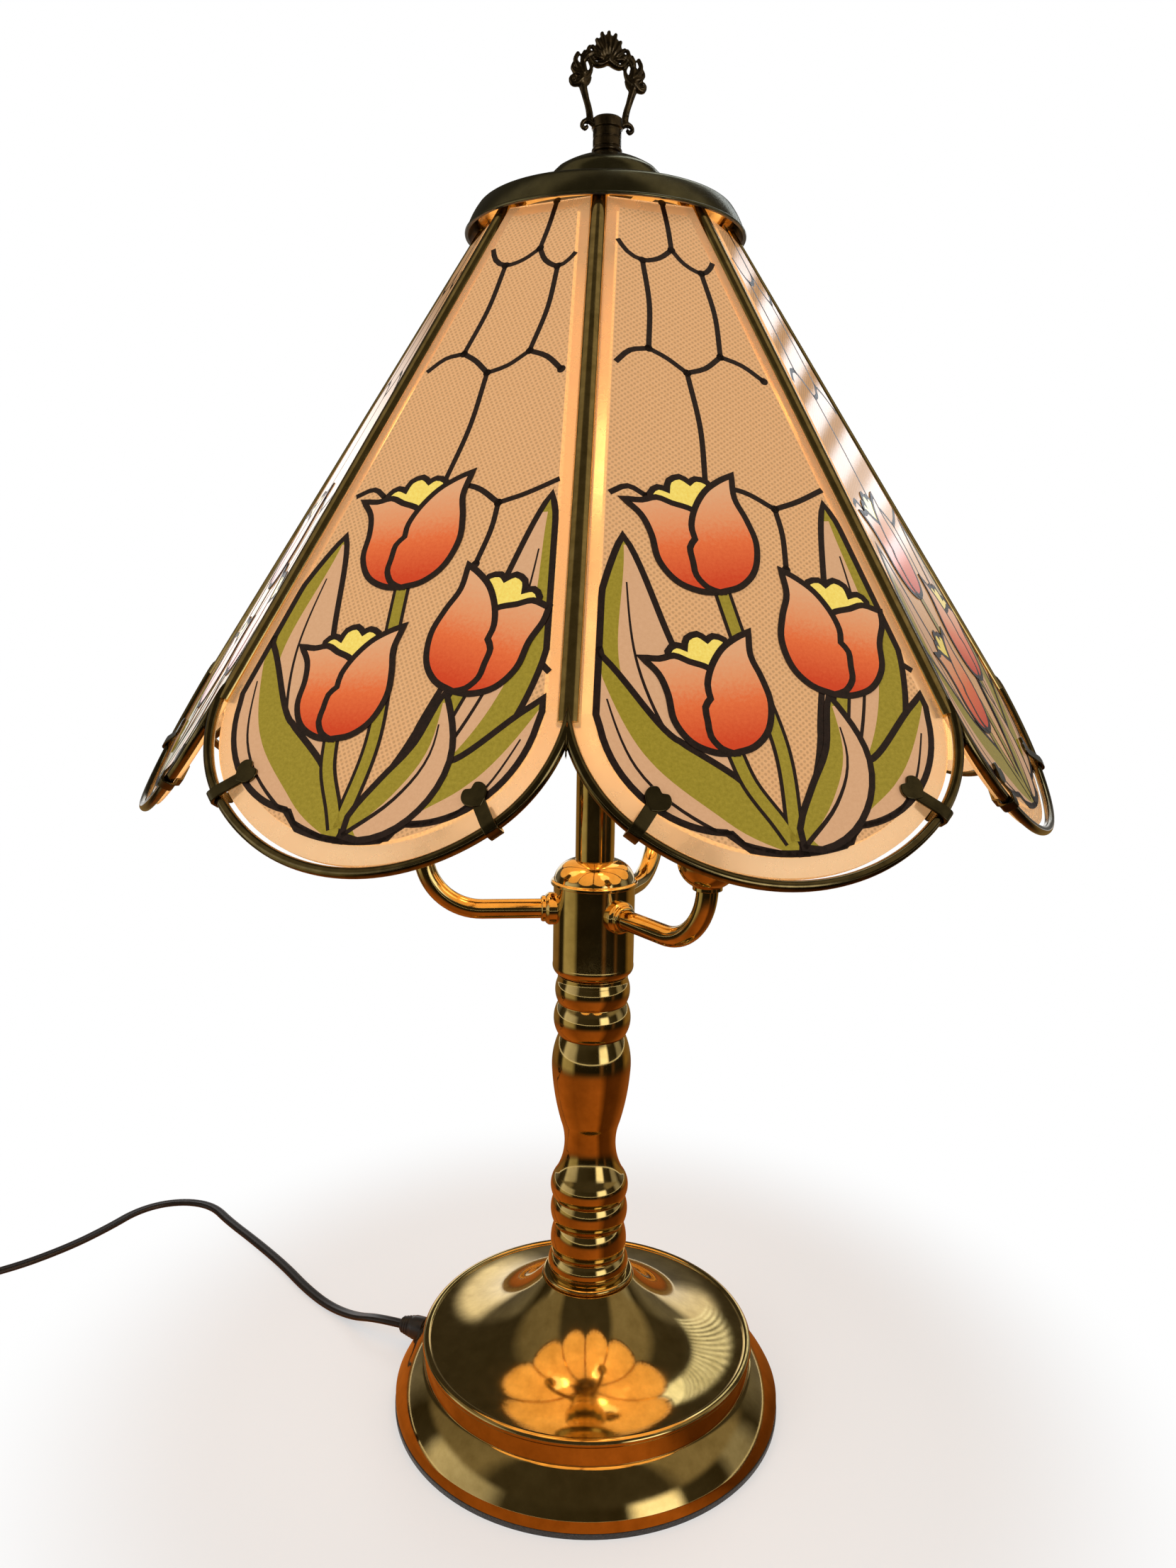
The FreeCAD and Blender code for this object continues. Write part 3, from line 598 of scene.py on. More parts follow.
def smooth_loop(points, step=2.0):
    """Closed outline through points. A point with a third value is a sharp corner."""
    n = len(points)
    sharp = [i for i, p in enumerate(points) if len(p) > 2]
    if not sharp:
        spans = [list(range(n)) + [0]]
    else:
        spans = []
        for a, b in zip(sharp, sharp[1:] + [sharp[0] + n]):
            spans.append([i % n for i in range(a, b + 1)])
    out = []
    for span in spans:
        pts = [Vector(points[i][:2]) for i in span]
        for i in range(len(pts) - 1):
            p1, p2 = pts[i], pts[i + 1]
            if not sharp:
                p0 = pts[i - 1] if i else pts[-2]
                p3 = pts[i + 2] if i + 2 < len(pts) else pts[1]
            else:
                p0 = pts[i - 1] if i else p1 * 2 - p2
                p3 = pts[i + 2] if i + 2 < len(pts) else p2 * 2 - p1
            out += spline(p0, p1, p2, p3, step)
    return out


def smooth_line(points, step=2.0):
    pts = [Vector(p[:2]) for p in points]
    pts = [pts[0] * 2 - pts[1]] + pts + [pts[-1] * 2 - pts[-2]]
    out = []
    for i in range(1, len(pts) - 2):
        out += spline(*pts[i - 1:i + 3], step)
    out.append(pts[-2])
    return out


MARGIN_SIDE, MARGIN_LOW = 8.0, 9.0


def inside(p, extra=0.0):
    """Moves a point of the print back inside the printed field of the pane."""
    u, v = p[0], p[1]
    s = 1 if u >= 0 else -1
    u = abs(u)
    lim = TOP_HALF + v * TAN - MARGIN_SIDE - extra
    u = min(u, lim)
    if v > VAL:
        du, dv = u - A1, v - VAL
        r = R1 - MARGIN_LOW - extra
        if u > A1 and math.hypot(du, dv) > r:
            k = r / math.hypot(du, dv)
            u, v = A1 + du * k, VAL + dv * k
        else:
            dv2 = v - (VAL + DEPTH - R2)
            rr = R2 - MARGIN_LOW - extra
            if math.hypot(u, dv2) > rr:
                k = rr / math.hypot(u, dv2)
                u, v = u * k, VAL + DEPTH - R2 + dv2 * k
    return Vector((u * s, v))


FACE, EDGE, REAR = 0.88, 2.18, 3.88  # depths of the pane's face, its ground edge and its back
SUNK = 0.91 * MM


def lift(level):
    """Depth of a print layer's face: each layer lies 0.02 mm over the last."""
    return (FACE - 0.02 * level) * MM


class Art:
    """Thin printed shapes on the outer face of one pane, in panel coordinates."""

    def __init__(self):
        self.bm = bmesh.new()
        self.uv = self.bm.loops.layers.uv.new("local")
        self.field = self.bm.loops.layers.uv.new("panel")

    def paint(self, faces, mat, frame_of):
        cx, cy, sx, sy, ang = frame_of
        c, s = math.cos(-ang), math.sin(-ang)
        for f in faces:
            f.material_index = mat
            for lp in f.loops:
                x, y = lp.vert.co.x / MM - cx, lp.vert.co.y / MM - cy
                lp[self.uv].uv = ((c * x - s * y) / sx + 0.5, (s * x + c * y) / sy + 0.5)
                lp[self.field].uv = (lp.vert.co.x * 10, lp.vert.co.y * 10)

    def put(self, pts, w):
        return [self.bm.verts.new((q.x * MM, q.y * MM, w)) for q in pts]

    def fill(self, loop, mat, level, frame_of=(0, 0, 1, 1, 0)):
        area = sum(a.x * b.y - b.x * a.y for a, b in zip(loop, loop[1:] + loop[:1]))
        if area < 0:
            loop = loop[::-1]
        low, top = self.put(loop, SUNK), self.put(loop, lift(level))
        faces = [self.bm.faces.new(top[::-1]), self.bm.faces.new(low)]
        self.paint(faces + bridge(self.bm, top, low), mat, frame_of)

    def ribbon(self, line, width, mat, level, closed=False, taper=False):
        n = len(line)
        left, rightv = [], []
        for i, p in enumerate(line):
            a = line[i - 1] if (i or closed) else p
            b = line[(i + 1) % n] if (i < n - 1 or closed) else p
            d1 = (p - a).normalized() if (p - a).length > 1e-6 else (b - p).normalized()
            d2 = (b - p).normalized() if (b - p).length > 1e-6 else d1
            n1, n2 = Vector((-d1.y, d1.x)), Vector((-d2.y, d2.x))
            m = n1 + n2
            if m.length < 0.3:
                m = n1
            m.normalize()
            k = 1 / max(0.55, m.dot(n1))
            hw = width / 2 * k
            if taper:
                t = i / (n - 1)
                hw *= 1 - 0.65 * t
            left.append(p + m * hw)
            rightv.append(p - m * hw)
        lt, rt = self.put(left, lift(level)), self.put(rightv, lift(level))
        lb, rb = self.put(left, SUNK), self.put(rightv, SUNK)
        faces = []
        count = n if closed else n - 1
        for i in range(count):
            j = (i + 1) % n
            faces.append(self.bm.faces.new((lt[i], lt[j], rt[j], rt[i])))
            faces.append(self.bm.faces.new((lb[j], lb[i], rb[i], rb[j])))
            faces.append(self.bm.faces.new((lt[j], lt[i], lb[i], lb[j])))
            faces.append(self.bm.faces.new((rt[i], rt[j], rb[j], rb[i])))
        if not closed:
            faces.append(self.bm.faces.new((lt[0], rt[0], rb[0], lb[0])))
            faces.append(self.bm.faces.new((rt[-1], lt[-1], lb[-1], rb[-1])))
        self.paint(faces, mat, (0, 0, 1, 1, 0))

    def dot(self, u, v, r, mat, level):
        self.fill([Vector((u + x, v + y)) for x, y in circle(r, 14)], mat, level)


# slots of the pane mesh
GLASS, GROUND, LEAD, PETAL, LEAF, PALE, CENTRE, BACK_LIT = range(8)
art = Art()
LINE = 2.0


def cell(points, width=1.85):
    art.ribbon(smooth_line(points), width, LEAD, 1)


# leading of the background: three scalloped rows joined by upright lines
rows = [
    [[(-15.6, 17.5), (-13.2, 22.5), (-8.4, 25.6), (-2.2, 24.0), (3.0, 19.8)],
     [(3.0, 19.8), (6.6, 25.4), (12.0, 28.6), (15.4, 26.4), (17.2, 23.4)],
     [(3.6, -1.0), (3.6, 10), (3.0, 19.8)]],
    [[(-25.2, 68.6), (-19.6, 63.6), (-13.0, 62.2)], [(-13.0, 62.2), (-7.4, 65.6), (-1.6, 70.8)],
     [(-1.6, 70.8), (5.2, 68.4), (11.6, 63.2)], [(11.6, 63.2), (18.6, 66.0), (25.2, 71.6)],
     [(-8.4, 25.6), (-9.4, 44), (-13.0, 62.2)], [(12.0, 28.6), (13.2, 46), (11.6, 63.2)]],
    [[(-35.6, 117.2), (-29.4, 114.6), (-24.0, 118.0)], [(-1.6, 70.8), (-1.4, 92), (-4.0, 113)],
     [(-4.0, 113.0), (8.0, 114.8), (17.6, 120.6)], [(17.6, 120.6), (26.4, 117.4), (36.0, 112.6)],
     [(17.6, 120.6), (18.0, 130), (16.4, 142)]],
    [[(38.6, 173.0), (45.0, 172.4), (50.4, 176.0)],
     [(-36.0, 168.0), (-42.0, 166.6), (-46.5, 162.0)],
     [(-30.0, 197.0), (-40.0, 190.0), (-49.5, 186.5)]]]
for row in rows:
    for seg in row:
        cell(seg)
        for end in (seg[0], seg[-1]):
            if abs(end[0]) < TOP_HALF + end[1] * TAN - MARGIN_SIDE - 1:
                art.dot(end[0], end[1], 1.45, LEAD, 1)


def placed(points, cx, cy, size, ang):
    c, s = math.cos(ang), math.sin(ang)
    out = []
    for p in points:
        x, y = p[0] * size, p[1] * size
        q = inside((cx + c * x - s * y, cy + s * x + c * y))
        out.append((q.x, q.y) + tuple(p[2:]))
    return out


def tulip(cx, cy, size, tilt, level, flip=1):
    ang = math.radians(tilt)

    def shape(points, mat, lv):
        pts = [(flip * p[0],) + tuple(p[1:]) for p in points]
        loop = smooth_loop(placed(pts, cx, cy, size, ang), 1.5)
        art.fill(loop, mat, lv, (cx, cy, size, size, ang))
        art.ribbon(loop, LINE, LEAD, lv + 1, closed=True)

    shape([(-0.31, -0.28, 1), (-0.31, -0.40), (-0.23, -0.45), (-0.16, -0.42, 1), (-0.12, -0.50),
           (-0.02, -0.53), (0.05, -0.47, 1), (0.11, -0.50), (0.20, -0.46), (0.22, -0.36, 1),
           (0.16, -0.20), (-0.10, -0.16)], CENTRE, level)
    shape([(0.02, 0.50, 1), (-0.16, 0.475), (-0.33, 0.37), (-0.42, 0.18), (-0.41, -0.04),
           (-0.44, -0.22), (-0.54, -0.37, 1), (-0.40, -0.345), (-0.27, -0.36), (-0.16, -0.30, 1),
           (0.0, -0.22), (0.12, -0.06), (0.14, 0.2)], PETAL, level + 2)
    shape([(-0.01, 0.50, 1), (0.18, 0.465), (0.34, 0.34), (0.43, 0.12), (0.42, -0.10),
           (0.385, -0.30), (0.43, -0.51, 1), (0.30, -0.465), (0.15, -0.38), (0.02, -0.24),
           (-0.06, -0.09), (-0.07, 0.03, 1), (-0.135, 0.10), (-0.15, 0.22, 1), (-0.16, 0.34),
           (-0.10, 0.45)], PETAL, level + 4)


def leaf(spine, width, level, side, pale):
    """Pointed leaf along a smooth spine, olive on one edge and pale inside."""
    mid = smooth_line(spine, 3.0)
    n = len(mid)
    left, rightv, core = [], [], []
    for i, p in enumerate(mid):
        t = i / (n - 1)
        a, b = mid[max(0, i - 1)], mid[min(n - 1, i + 1)]
        d = (b - a).normalized()
        nn = Vector((-d.y, d.x))
        h = width / 2 * math.sin(math.pi * t ** 0.72) ** 0.8 if 0 < t < 1 else 0.0
        left.append(inside(p + nn * h))
        rightv.append(inside(p - nn * h))
        core.append((p, nn, h, t))
    loop = left + rightv[-2:0:-1]
    c = sum(loop, Vector((0, 0))) / len(loop)
    d = mid[-1] - mid[0]
    ang = math.atan2(d.x, -d.y)
    art.fill(loop, LEAF, level, (c.x, c.y, width, d.length, ang))
    inner = [q for q in core if 0.06 < q[3] < 0.97]
    a = [inside(p + nn * (side * h * 0.97), 0.3) for p, nn, h, t in inner]
    b = [inside(p - nn * (side * h * pale * math.sin(math.pi * t)), 0.6) for p, nn, h, t in inner]
    art.fill(a + b[::-1], PALE, level + 1, (c.x, c.y, width, d.length, ang))
    art.ribbon(loop, LINE, LEAD, level + 2, closed=True)
    rib = [q[0] for q in core if q[3] < 0.86]
    art.ribbon([inside(q) for q in rib], 1.5, LEAD, level + 2, taper=True)


def stem(points, level, width=3.4):
    line = smooth_line(points)
    art.ribbon(line, width + 2.2, LEAD, level)
    art.ribbon(line, width, LEAF, level + 1)


leaf([(-9, 224), (-27, 206), (-37, 174), (-34, 132)], 30, 2, 1, 0.42)
leaf([(8, 222), (25, 202), (36, 164), (35, 118)], 27, 2, -1, 0.36)
leaf([(1, 232), (-22, 224), (-43, 204), (-50, 168)], 36, 5, -1, 0.3)
leaf([(0, 233), (22, 226), (40, 213), (52, 184)], 34, 5, 1, 0.34)
stem([(-7, 146), (-4, 170), (1, 200), (-1, 227)], 8)
stem([(25, 182), (19, 200), (8, 216), (0, 227)], 8)
stem([(-14, 198), (-11, 210), (-5, 221), (-2, 227)], 8)
leaf([(1, 229), (14, 217), (21, 203), (20, 184)], 17, 10, 1, 0.2)
tulip(-9, 131, 39, -7, 13)
tulip(26, 165, 38, 13, 13, -1)
tulip(-15, 183, 36, -5, 13)


# the glass itself: flat field, sloped bevel, edge and back
field = pane_outline(7.8, 8.7, 3.5)
rim = pane_outline(2.4, 2.6, -2.5)
slab = [[art.bm.verts.new((u * MM, v * MM, w * MM)) for u, v in edge]
        for edge, w in ((field, FACE), (rim, EDGE), (rim, REAR), (field, REAR))]
WHOLE = (0, 0, 1, 1, 0)
art.paint([art.bm.faces.new(slab[0][::-1])], GROUND, WHOLE)
art.paint([art.bm.faces.new(slab[3])], BACK_LIT, WHOLE)
for a, b in zip(slab, slab[1:]):
    art.paint(bridge(art.bm, a, b), GLASS, WHOLE)
bmesh.ops.recalc_face_normals(art.bm, faces=art.bm.faces)
pane_mesh = to_mesh(art.bm, "tulip_pane")

glass_m, t, p = nodes_of("bevel_glass")
p.inputs["Base Color"].default_value = (0.84, 0.57, 0.32, 1)
p.inputs["Transmission Weight"].default_value = 0.7
# The warm emission is a painted glow: the lit inside of the shade seen through the bevel.
p.inputs["Emission Color"].default_value = (0.92, 0.60, 0.29, 1)
p.inputs["Emission Strength"].default_value = 0.15
p.inputs["IOR"].default_value = 1.45
v = coords(t)
n = noise(t, v, 160, 4)
t.links.new(ramp(t, n, [(0.3, (0.22,)), (0.8, (0.36,))]), p.inputs["Roughness"])
n2 = noise(t, v, 1400, 2)
bump(t, n2, 0.02, 0.0001, p)

for m in (glass_m, ground_m, lead_m, petal_m, leaf_m, pale_m, gold_m, back_m):
    pane_mesh.materials.append(m)


def eight(name, mesh, matrix, node, slot, edge=0.0):
    """Eight copies round the shade, each with its place in its mesh."""
    for k in range(8):
        me = mesh.copy()
        me.transform(spin(k) @ matrix)
        o = new_object("%s_%d" % (name, k + 1), me, "shade",
                       repl=(node % (k + 1) if "%" in node else node,), slot=slot)
        if edge:
            bevel(o, edge, 0.5)
    bpy.data.meshes.remove(mesh)


eight("pane", pane_mesh, panel, "glass_pane_%d", "printed_glass")

# --- hoops, ribs, clips
hoop_pts = arch(0, 20)
ring = circle(1.6, 20)
bm = bmesh.new()
rings = []
for i, (u, v) in enumerate(hoop_pts):
    a = Vector((*hoop_pts[max(0, i - 1)], 0))
    b = Vector((*hoop_pts[min(len(hoop_pts) - 1, i + 1)], 0))
    way = (b - a).normalized()
    if i in (0, len(hoop_pts) - 1):
        way = Vector((0, 1 if i == 0 else -1, 0))
    s = way.cross(Vector((0, 0, 1)))
    rings.append([bm.verts.new((Vector((u, v, 0.8 + y)) + s * x) * MM) for x, y in ring])
for a, b in zip(rings, rings[1:]):
    bridge(bm, a, b)
bm.transform(panel)
for sign, rg in ((1, rings[0]), (-1, rings[-1])):
    az = math.radians(22.5 + 22.44 * sign)
    cut = Vector((math.cos(az), math.sin(az), 0))
    slide = (panel.to_3x3() @ Vector((0, -1, 0))).normalized()
    for w in rg:
        w.co += slide * (-(w.co.dot(cut)) / slide.dot(cut))
bm.faces.new(rings[0])
bm.faces.new(rings[-1])
hoop_mesh = finish_mesh(bm, "hoop_bar")
hoop_mesh.materials.append(rod_brass)
eight("hoop_bar", hoop_mesh, Matrix.Identity(4), "hoop_%d", "dark_brass")

rib_low = Vector((0, -157.3, 310.9))
rib_high = Vector((0, -50.0, 474.3))
rib_dir = (rib_low - rib_high).normalized()
rib_out = Vector((0, rib_dir.z, -rib_dir.y))
LEAN = math.tan(math.radians(19.15))
BACK = 0.93 + 3.0 / math.cos(math.radians(19.15))
# half of the H section of a came: web 1.6 mm thick, head 5.6 mm wide, inner flange 6.4 mm wide
head = [(2.8 * math.cos(a), -1.9 + 1.9 * math.sin(a)) for a in
        (math.pi * i / 16 for i in range(1, 9))]
head = [(x, y if x < 2.7 else -(0.93 + 2.8 * LEAN)) for x, y in head]
half = [(3.2, -6.2), (3.2, -(BACK + 3.2 * LEAN)), (0.8, -(BACK + 0.8 * LEAN)),
        (0.8, -(0.93 + 0.8 * LEAN)), (2.8, -(0.93 + 2.8 * LEAN))] + head
came = half + [(-x, y) for x, y in half[-2::-1]]
bm = bmesh.new()
heads, tails = [], []
for x, y in came:
    base = rib_high + Vector((x, 0, 0)) + rib_out * y
    t0 = (478.0 - base.z) / rib_dir.z
    best = 1e9
    for turn_k in (0, -45):
        q = Matrix.Rotation(math.radians(turn_k), 3, "Z")
        dn = q @ down
        best = min(best, (VAL - (base - q @ slope_top).dot(dn)) / rib_dir.dot(dn))
    heads.append(bm.verts.new((base + rib_dir * t0) * MM))
    tails.append(bm.verts.new((base + rib_dir * best) * MM))
bridge(bm, heads, tails)
bm.faces.new(heads)
bm.faces.new(tails)
rib_mesh = finish_mesh(bm, "rib_came", 0.5)
rib_mesh.materials.append(came_brass)
eight("rib_came", rib_mesh, Matrix.Identity(4), "shade_ribs", "dark_brass")

clip_u, clip_dv = 39.1, 23.1
reach = math.hypot(clip_u - A1, clip_dv)
cc, cs = (clip_u - A1) / reach, clip_dv / reach
rod_at = R1 - reach
strip = [(0, 0.88), (3.0, 0.88), (rod_at - 0.95, -0.95), (rod_at + 0.85, -0.95),
         (rod_at + 1.75, 0.0), (rod_at + 1.75, 1.6), (rod_at + 0.85, 2.55), (rod_at - 0.85, 2.55),
         (rod_at - 1.65, 3.9), (3.5, 3.9), (3.5, 4.7), (rod_at - 1.15, 4.7),
         (rod_at - 0.25, 3.35), (rod_at + 1.45, 3.35), (rod_at + 2.2, 2.9), (rod_at + 2.55, 2.1),
         (rod_at + 2.55, -0.5), (rod_at + 2.2, -1.35), (rod_at + 1.45, -1.75),
         (rod_at - 1.05, -1.75), (2.9, 0.08), (0, 0.08)]


def clip_at(side, p, q, w):
    u = clip_u + cc * p - cs * q
    v = VAL + clip_dv + cs * p + cc * q
    return Vector((side * u, v, w)) * MM


heart_pts = smooth_loop([(3.9, 0, 1), (2.4, 2.2), (0.4, 3.7), (-1.9, 3.6), (-3.4, 1.9),
                         (-2.5, 0, 1), (-3.4, -1.9), (-1.9, -3.6), (0.4, -3.7), (2.4, -2.2)], 0.5)
bm = bmesh.new()
for side in (1, -1):
    for a, b in (([clip_at(side, p, q, w) for p, w in strip] for q in (-2.0, 2.0)),
                 ([clip_at(side, q.x, q.y, w) for q in heart_pts] for w in (-0.25, 0.86))):
        a, b = [bm.verts.new(c) for c in a], [bm.verts.new(c) for c in b]
        bm.faces.new(a)
        bm.faces.new(b)
        bridge(bm, a, b)
clip_mesh = finish_mesh(bm, "heart_clips", 0.5)
clip_mesh.materials.append(clip_brass)
eight("heart_clips", clip_mesh, panel, "pane_clips", "dark_brass", 0.22)

# --- cap, dome, finial
lathe("shade_cap_spun", [(3.1, 488.6), (22.5, 488.6), (44.6, 484.4), (46.3, 484.0, 47.6, 483.0),
      (50.1, 479.0, 51.6, 475.4), (52.1, 475.2, 52.1, 474.3), (51.0, 474.3), (49.0, 478.6),
      (46.7, 482.1), (44.2, 483.2), (22.3, 487.4), (3.1, 487.4)], dark_brass, "shade",
      ("shade_cap",), segs=160, slot="dark_brass")
# The inner and downward faces of the cap take the black phenolic: painted shade in the hollow under
# the cap.
cap_mesh = bpy.data.objects["shade_cap_spun"].data
cap_mesh.materials.append(phenolic)
for poly in cap_mesh.polygons:
    flat = Vector((poly.center.x, poly.center.y, 0))
    if poly.normal.dot(flat.normalized()) < -0.05 or poly.normal.z < -0.5:
        poly.material_index = 1
lathe("cap_dome_spun", [(3.1, 503.4), (5.8, 503.4), (8.4, 502.8), (13.8, 500.7, 18.7, 498.0),
      (20.4, 496.3), (21.0, 494.0), (21.0, 488.6), (19.8, 488.6), (19.8, 493.8), (17.9, 496.8),
      (8.0, 501.4), (3.1, 502.2)], dark_brass, "shade", ("cap_dome",), slot="dark_brass")
lathe("finial_knob_turned", [(3.1, 503.4), (5.6, 503.4), (5.6, 504.2), (4.9, 504.7),
      (5.5, 505.0, 5.5, 506.0), (4.9, 506.4), (5.25, 506.9), (5.25, 509.4), (5.05, 509.55),
      (5.05, 509.8), (5.25, 509.95), (5.25, 512.6), (5.8, 513.1), (5.8, 516.1), (4.9, 516.8),
      (3.4, 517.2), (0, 517.2), (0, 512.6), (3.1, 512.6)], antique, "finial", ("finial_knob",),
      segs=72, edge=0.12, slot="dark_brass")


def blob(bm, centre, radii):
    m = Matrix.Translation(Vector(centre)) @ Matrix.Diagonal((*radii, 1))
    bmesh.ops.create_uvsphere(bm, u_segments=14, v_segments=10, radius=1, matrix=m)


def horn(bm, pts, radii, flat):
    """Tapered bar along points in the finial's plane, rounded at both ends."""
    line = smooth_line(pts, 0.6)
    n = len(line)
    rgs = []
    for i, q in enumerate(line):
        t = i / (n - 1) * (len(radii) - 1)
        k = min(int(t), len(radii) - 2)
        r = radii[k] + (radii[k + 1] - radii[k]) * (t - k)
        a, b = line[max(0, i - 1)], line[min(n - 1, i + 1)]
        d = (b - a).normalized()
        s = Vector((-d.y, 0, d.x))
        rgs.append([bm.verts.new(Vector((q.x, flat * y, q.y)) + s * x)
                    for x, y in circle(r, 12)])
    for a, b in zip(rgs, rgs[1:]):
        bridge(bm, a, b)
    bm.faces.new(rgs[0])
    bm.faces.new(rgs[-1])
    for q, r in ((line[0], radii[0]), (line[-1], radii[-1])):
        blob(bm, (q.x, 0, q.y), (r, r * flat, r))


bm = bmesh.new()
SCROLLS = (  # one half: points (across, height), radii along them, thickness by width
    # foot: scroll that ends in a ball beside the knob's collar
    ([(5.2, 514.6), (7.2, 515.5), (9.0, 514.9), (9.6, 513.4), (8.4, 512.5),
       (7.7, 513.3)], [1.3, 1.1, 0.9, 0.8, 0.7, 0.7], 1.2),
    # arm: rises, leans out, with a rib on its outer side
    ([(6.0, 515.0), (6.7, 519.2), (8.2, 523.6), (9.4, 527.6),
       (9.6, 530.5)], [1.05, 0.95, 1.0, 1.35, 1.5], 1.0),
    ([(7.4, 515.8), (7.9, 519.6), (9.3, 523.8), (10.6, 526.8)], [0.45, 0.5, 0.5, 0.4], 1.6),
    # acanthus clump: lobes that curl outwards, with a bead in the lowest curl
    ([(9.6, 529.4), (11.6, 527.6), (13.4, 527.4), (14.0, 529.0), (12.8, 530.2),
       (12.0, 529.2)], [1.5, 1.3, 1.0, 0.8, 0.7, 0.6], 1.25),
    ([(9.8, 530.6), (11.8, 531.2), (13.4, 532.6), (13.0, 534.2)], [1.3, 1.2, 0.8, 0.55], 1.2),
    ([(9.6, 531.6), (11.2, 533.2), (12.3, 535.6), (11.4, 537.6)], [1.3, 1.15, 0.9, 0.8], 1.2),
    ([(9.0, 531.4), (9.4, 534.4), (9.6, 536.8), (8.9, 538.6)], [1.4, 1.2, 0.9, 0.6], 1.15),
    ([(8.6, 529.6), (7.0, 531.4), (6.3, 533.6), (7.2, 535.4)], [1.2, 1.0, 0.7, 0.5], 1.1),
    ([(8.8, 527.4), (7.4, 528.4), (6.5, 530.0)], [1.0, 0.7, 0.4], 1.1),
    # scroll up to the crest
    ([(9.2, 535.6), (7.6, 537.6), (6.0, 538.2), (4.6, 537.4)], [1.1, 1.0, 1.0, 0.9], 1.3),
    ([(6.4, 536.8), (7.6, 538.4), (7.1, 540.4), (5.8, 540.2)], [0.7, 0.8, 0.7, 0.5], 1.5),
)
for s in (1, -1):
    for pts, radii, flat in SCROLLS:
        horn(bm, [(s * x, z) for x, z in pts], radii, flat)
    blob(bm, (s * 12.9, 0, 528.8), (0.9, 1.7, 0.9))
# crest: shell of fluted ribs over a scrolled lip
for i in range(9):
    a = math.radians(-80 + 20 * i)
    ln = 10.6 if abs(i - 4) < 2 else 9.8 if abs(i - 4) < 4 else 8.2
    tip = (ln * 0.70 * math.sin(a), 535.9 + ln * math.cos(a) * 0.93)
    mid_pt = (ln * 0.42 * math.sin(a), 536.1 + ln * 0.5 * math.cos(a))
    horn(bm, [(0.5 * math.sin(a), 536.2), mid_pt, tip], [0.5, 0.95, 0.72], 1.7)
blob(bm, (0, 0, 540.2), (5.2, 1.2, 5.0))
horn(bm, [(-6.6, 536.4), (-4.6, 534.6), (-2.2, 534.9), (0, 536.0), (2.2, 534.9), (4.6, 534.6),
          (6.6, 536.4)], [0.8, 1.0, 1.0, 1.2, 1.0, 1.0, 0.8], 1.6)
blob(bm, (0, 0, 536.6), (1.5, 2.1, 1.3))
bmesh.ops.recalc_face_normals(bm, faces=bm.faces)
bm.transform(Matrix.Rotation(math.radians(16), 4, "Z") @ Matrix.Scale(MM, 4))
o = bpy.data.objects.new("finial_casting", to_mesh(bm, "finial_casting"))
col.objects.link(o)
r = o.modifiers.new("fuse", "REMESH")
r.mode = "VOXEL"
r.voxel_size = 0.00028
r.use_smooth_shade = True
sm = o.modifiers.new("soften", "SMOOTH")
sm.factor = 0.5
sm.iterations = 3
cast = bpy.data.meshes.new_from_object(o.evaluated_get(bpy.context.evaluated_depsgraph_get()))
bpy.data.objects.remove(o)
cast.name = "finial_casting"
cast.materials.clear()
new_object("finial_casting", cast, "finial", antique, ("finial_ornament",), "dark_brass")

# --- cord fittings
q = bush_dir.to_track_quat("Z", "Y").to_matrix().to_4x4()
q.translation = Vector((0, 0, 9.5)) * MM
prof = [(0, 68.5), (4.05, 68.5), (4.05, 78.6), (5.2, 78.8), (5.2, 83.6), (4.9, 84.6)]
for i in range(4):
    z0 = 84.9 + i * 1.35
    r0 = 4.75 - 0.36 * i
    prof += [(r0, z0), (r0, z0 + 0.75), (r0 - 0.55, z0 + 0.85), (r0 - 0.55, z0 + 1.25)]
prof += [(3.1, 90.3), (2.9, 90.5), (0, 90.5)]
lathe("cord_bushing_moulded", prof, phenolic, "lamp", ("cord_bushing",), segs=48, edge=0.1,
      slot="black_plastic", matrix=q)

side = Vector((-last.y, last.x, 0))


def rounded(w, h, n=40):
    """Box section with softly rounded corners."""
    pts = []
    for i in range(n):
        a = 2 * math.pi * i / n
        c, s = math.cos(a), math.sin(a)
        pts.append((w / 2 * math.copysign(abs(c) ** 0.38, c),
                    h / 2 * math.copysign(abs(s) ** 0.38, s)))
    return pts


# plug: (place along the cord's end, width, height), with the ribs of its strain relief first
st = [(0, 5.6, 5.4), (0.4, 6.4, 6.2)]
for i in range(7):
    a0 = 1.2 + i * 2.6
    w0, h0 = 6.4 + 0.45 * i, 6.2 + 0.36 * i
    st += [(a0, w0, h0), (a0 + 1.3, w0 + 0.2, h0 + 0.2), (a0 + 1.5, w0 - 1.2, h0 - 1.0),
           (a0 + 2.4, w0 - 1.0, h0 - 0.9)]
st += [(19.8, 9.4, 8.6), (20.0, 13.2, 11.2), (20.6, 14.0, 12.0), (25, 18.6, 14.4),
       (30, 22.0, 16.4),
       (33, 22.6, 16.6), (34, 21.4, 16.2), (35.6, 21.4, 16.2), (36.6, 22.8, 16.8), (38, 21.6, 16.3),
       (39.6, 21.6, 16.3), (40.6, 23.0, 17.0), (42, 21.9, 16.5), (43.6, 21.9, 16.5),
       (44.8, 23.6, 17.4), (47.4, 24.0, 17.6), (48, 23.4, 17.0)]
bm = bmesh.new()
rings = [[bm.verts.new((cord_end + last * along + side * x + Vector((0, 0, y))) * MM)
          for x, y in rounded(w, h)] for along, w, h in st]
for a, b in zip(rings, rings[1:]):
    bridge(bm, a, b)
bm.faces.new(rings[0])
bm.faces.new(rings[-1])
new_object("plug_moulded", finish_mesh(bm, "plug_moulded"), "lamp", vinyl, ("plug_body",),
           "plug_vinyl")

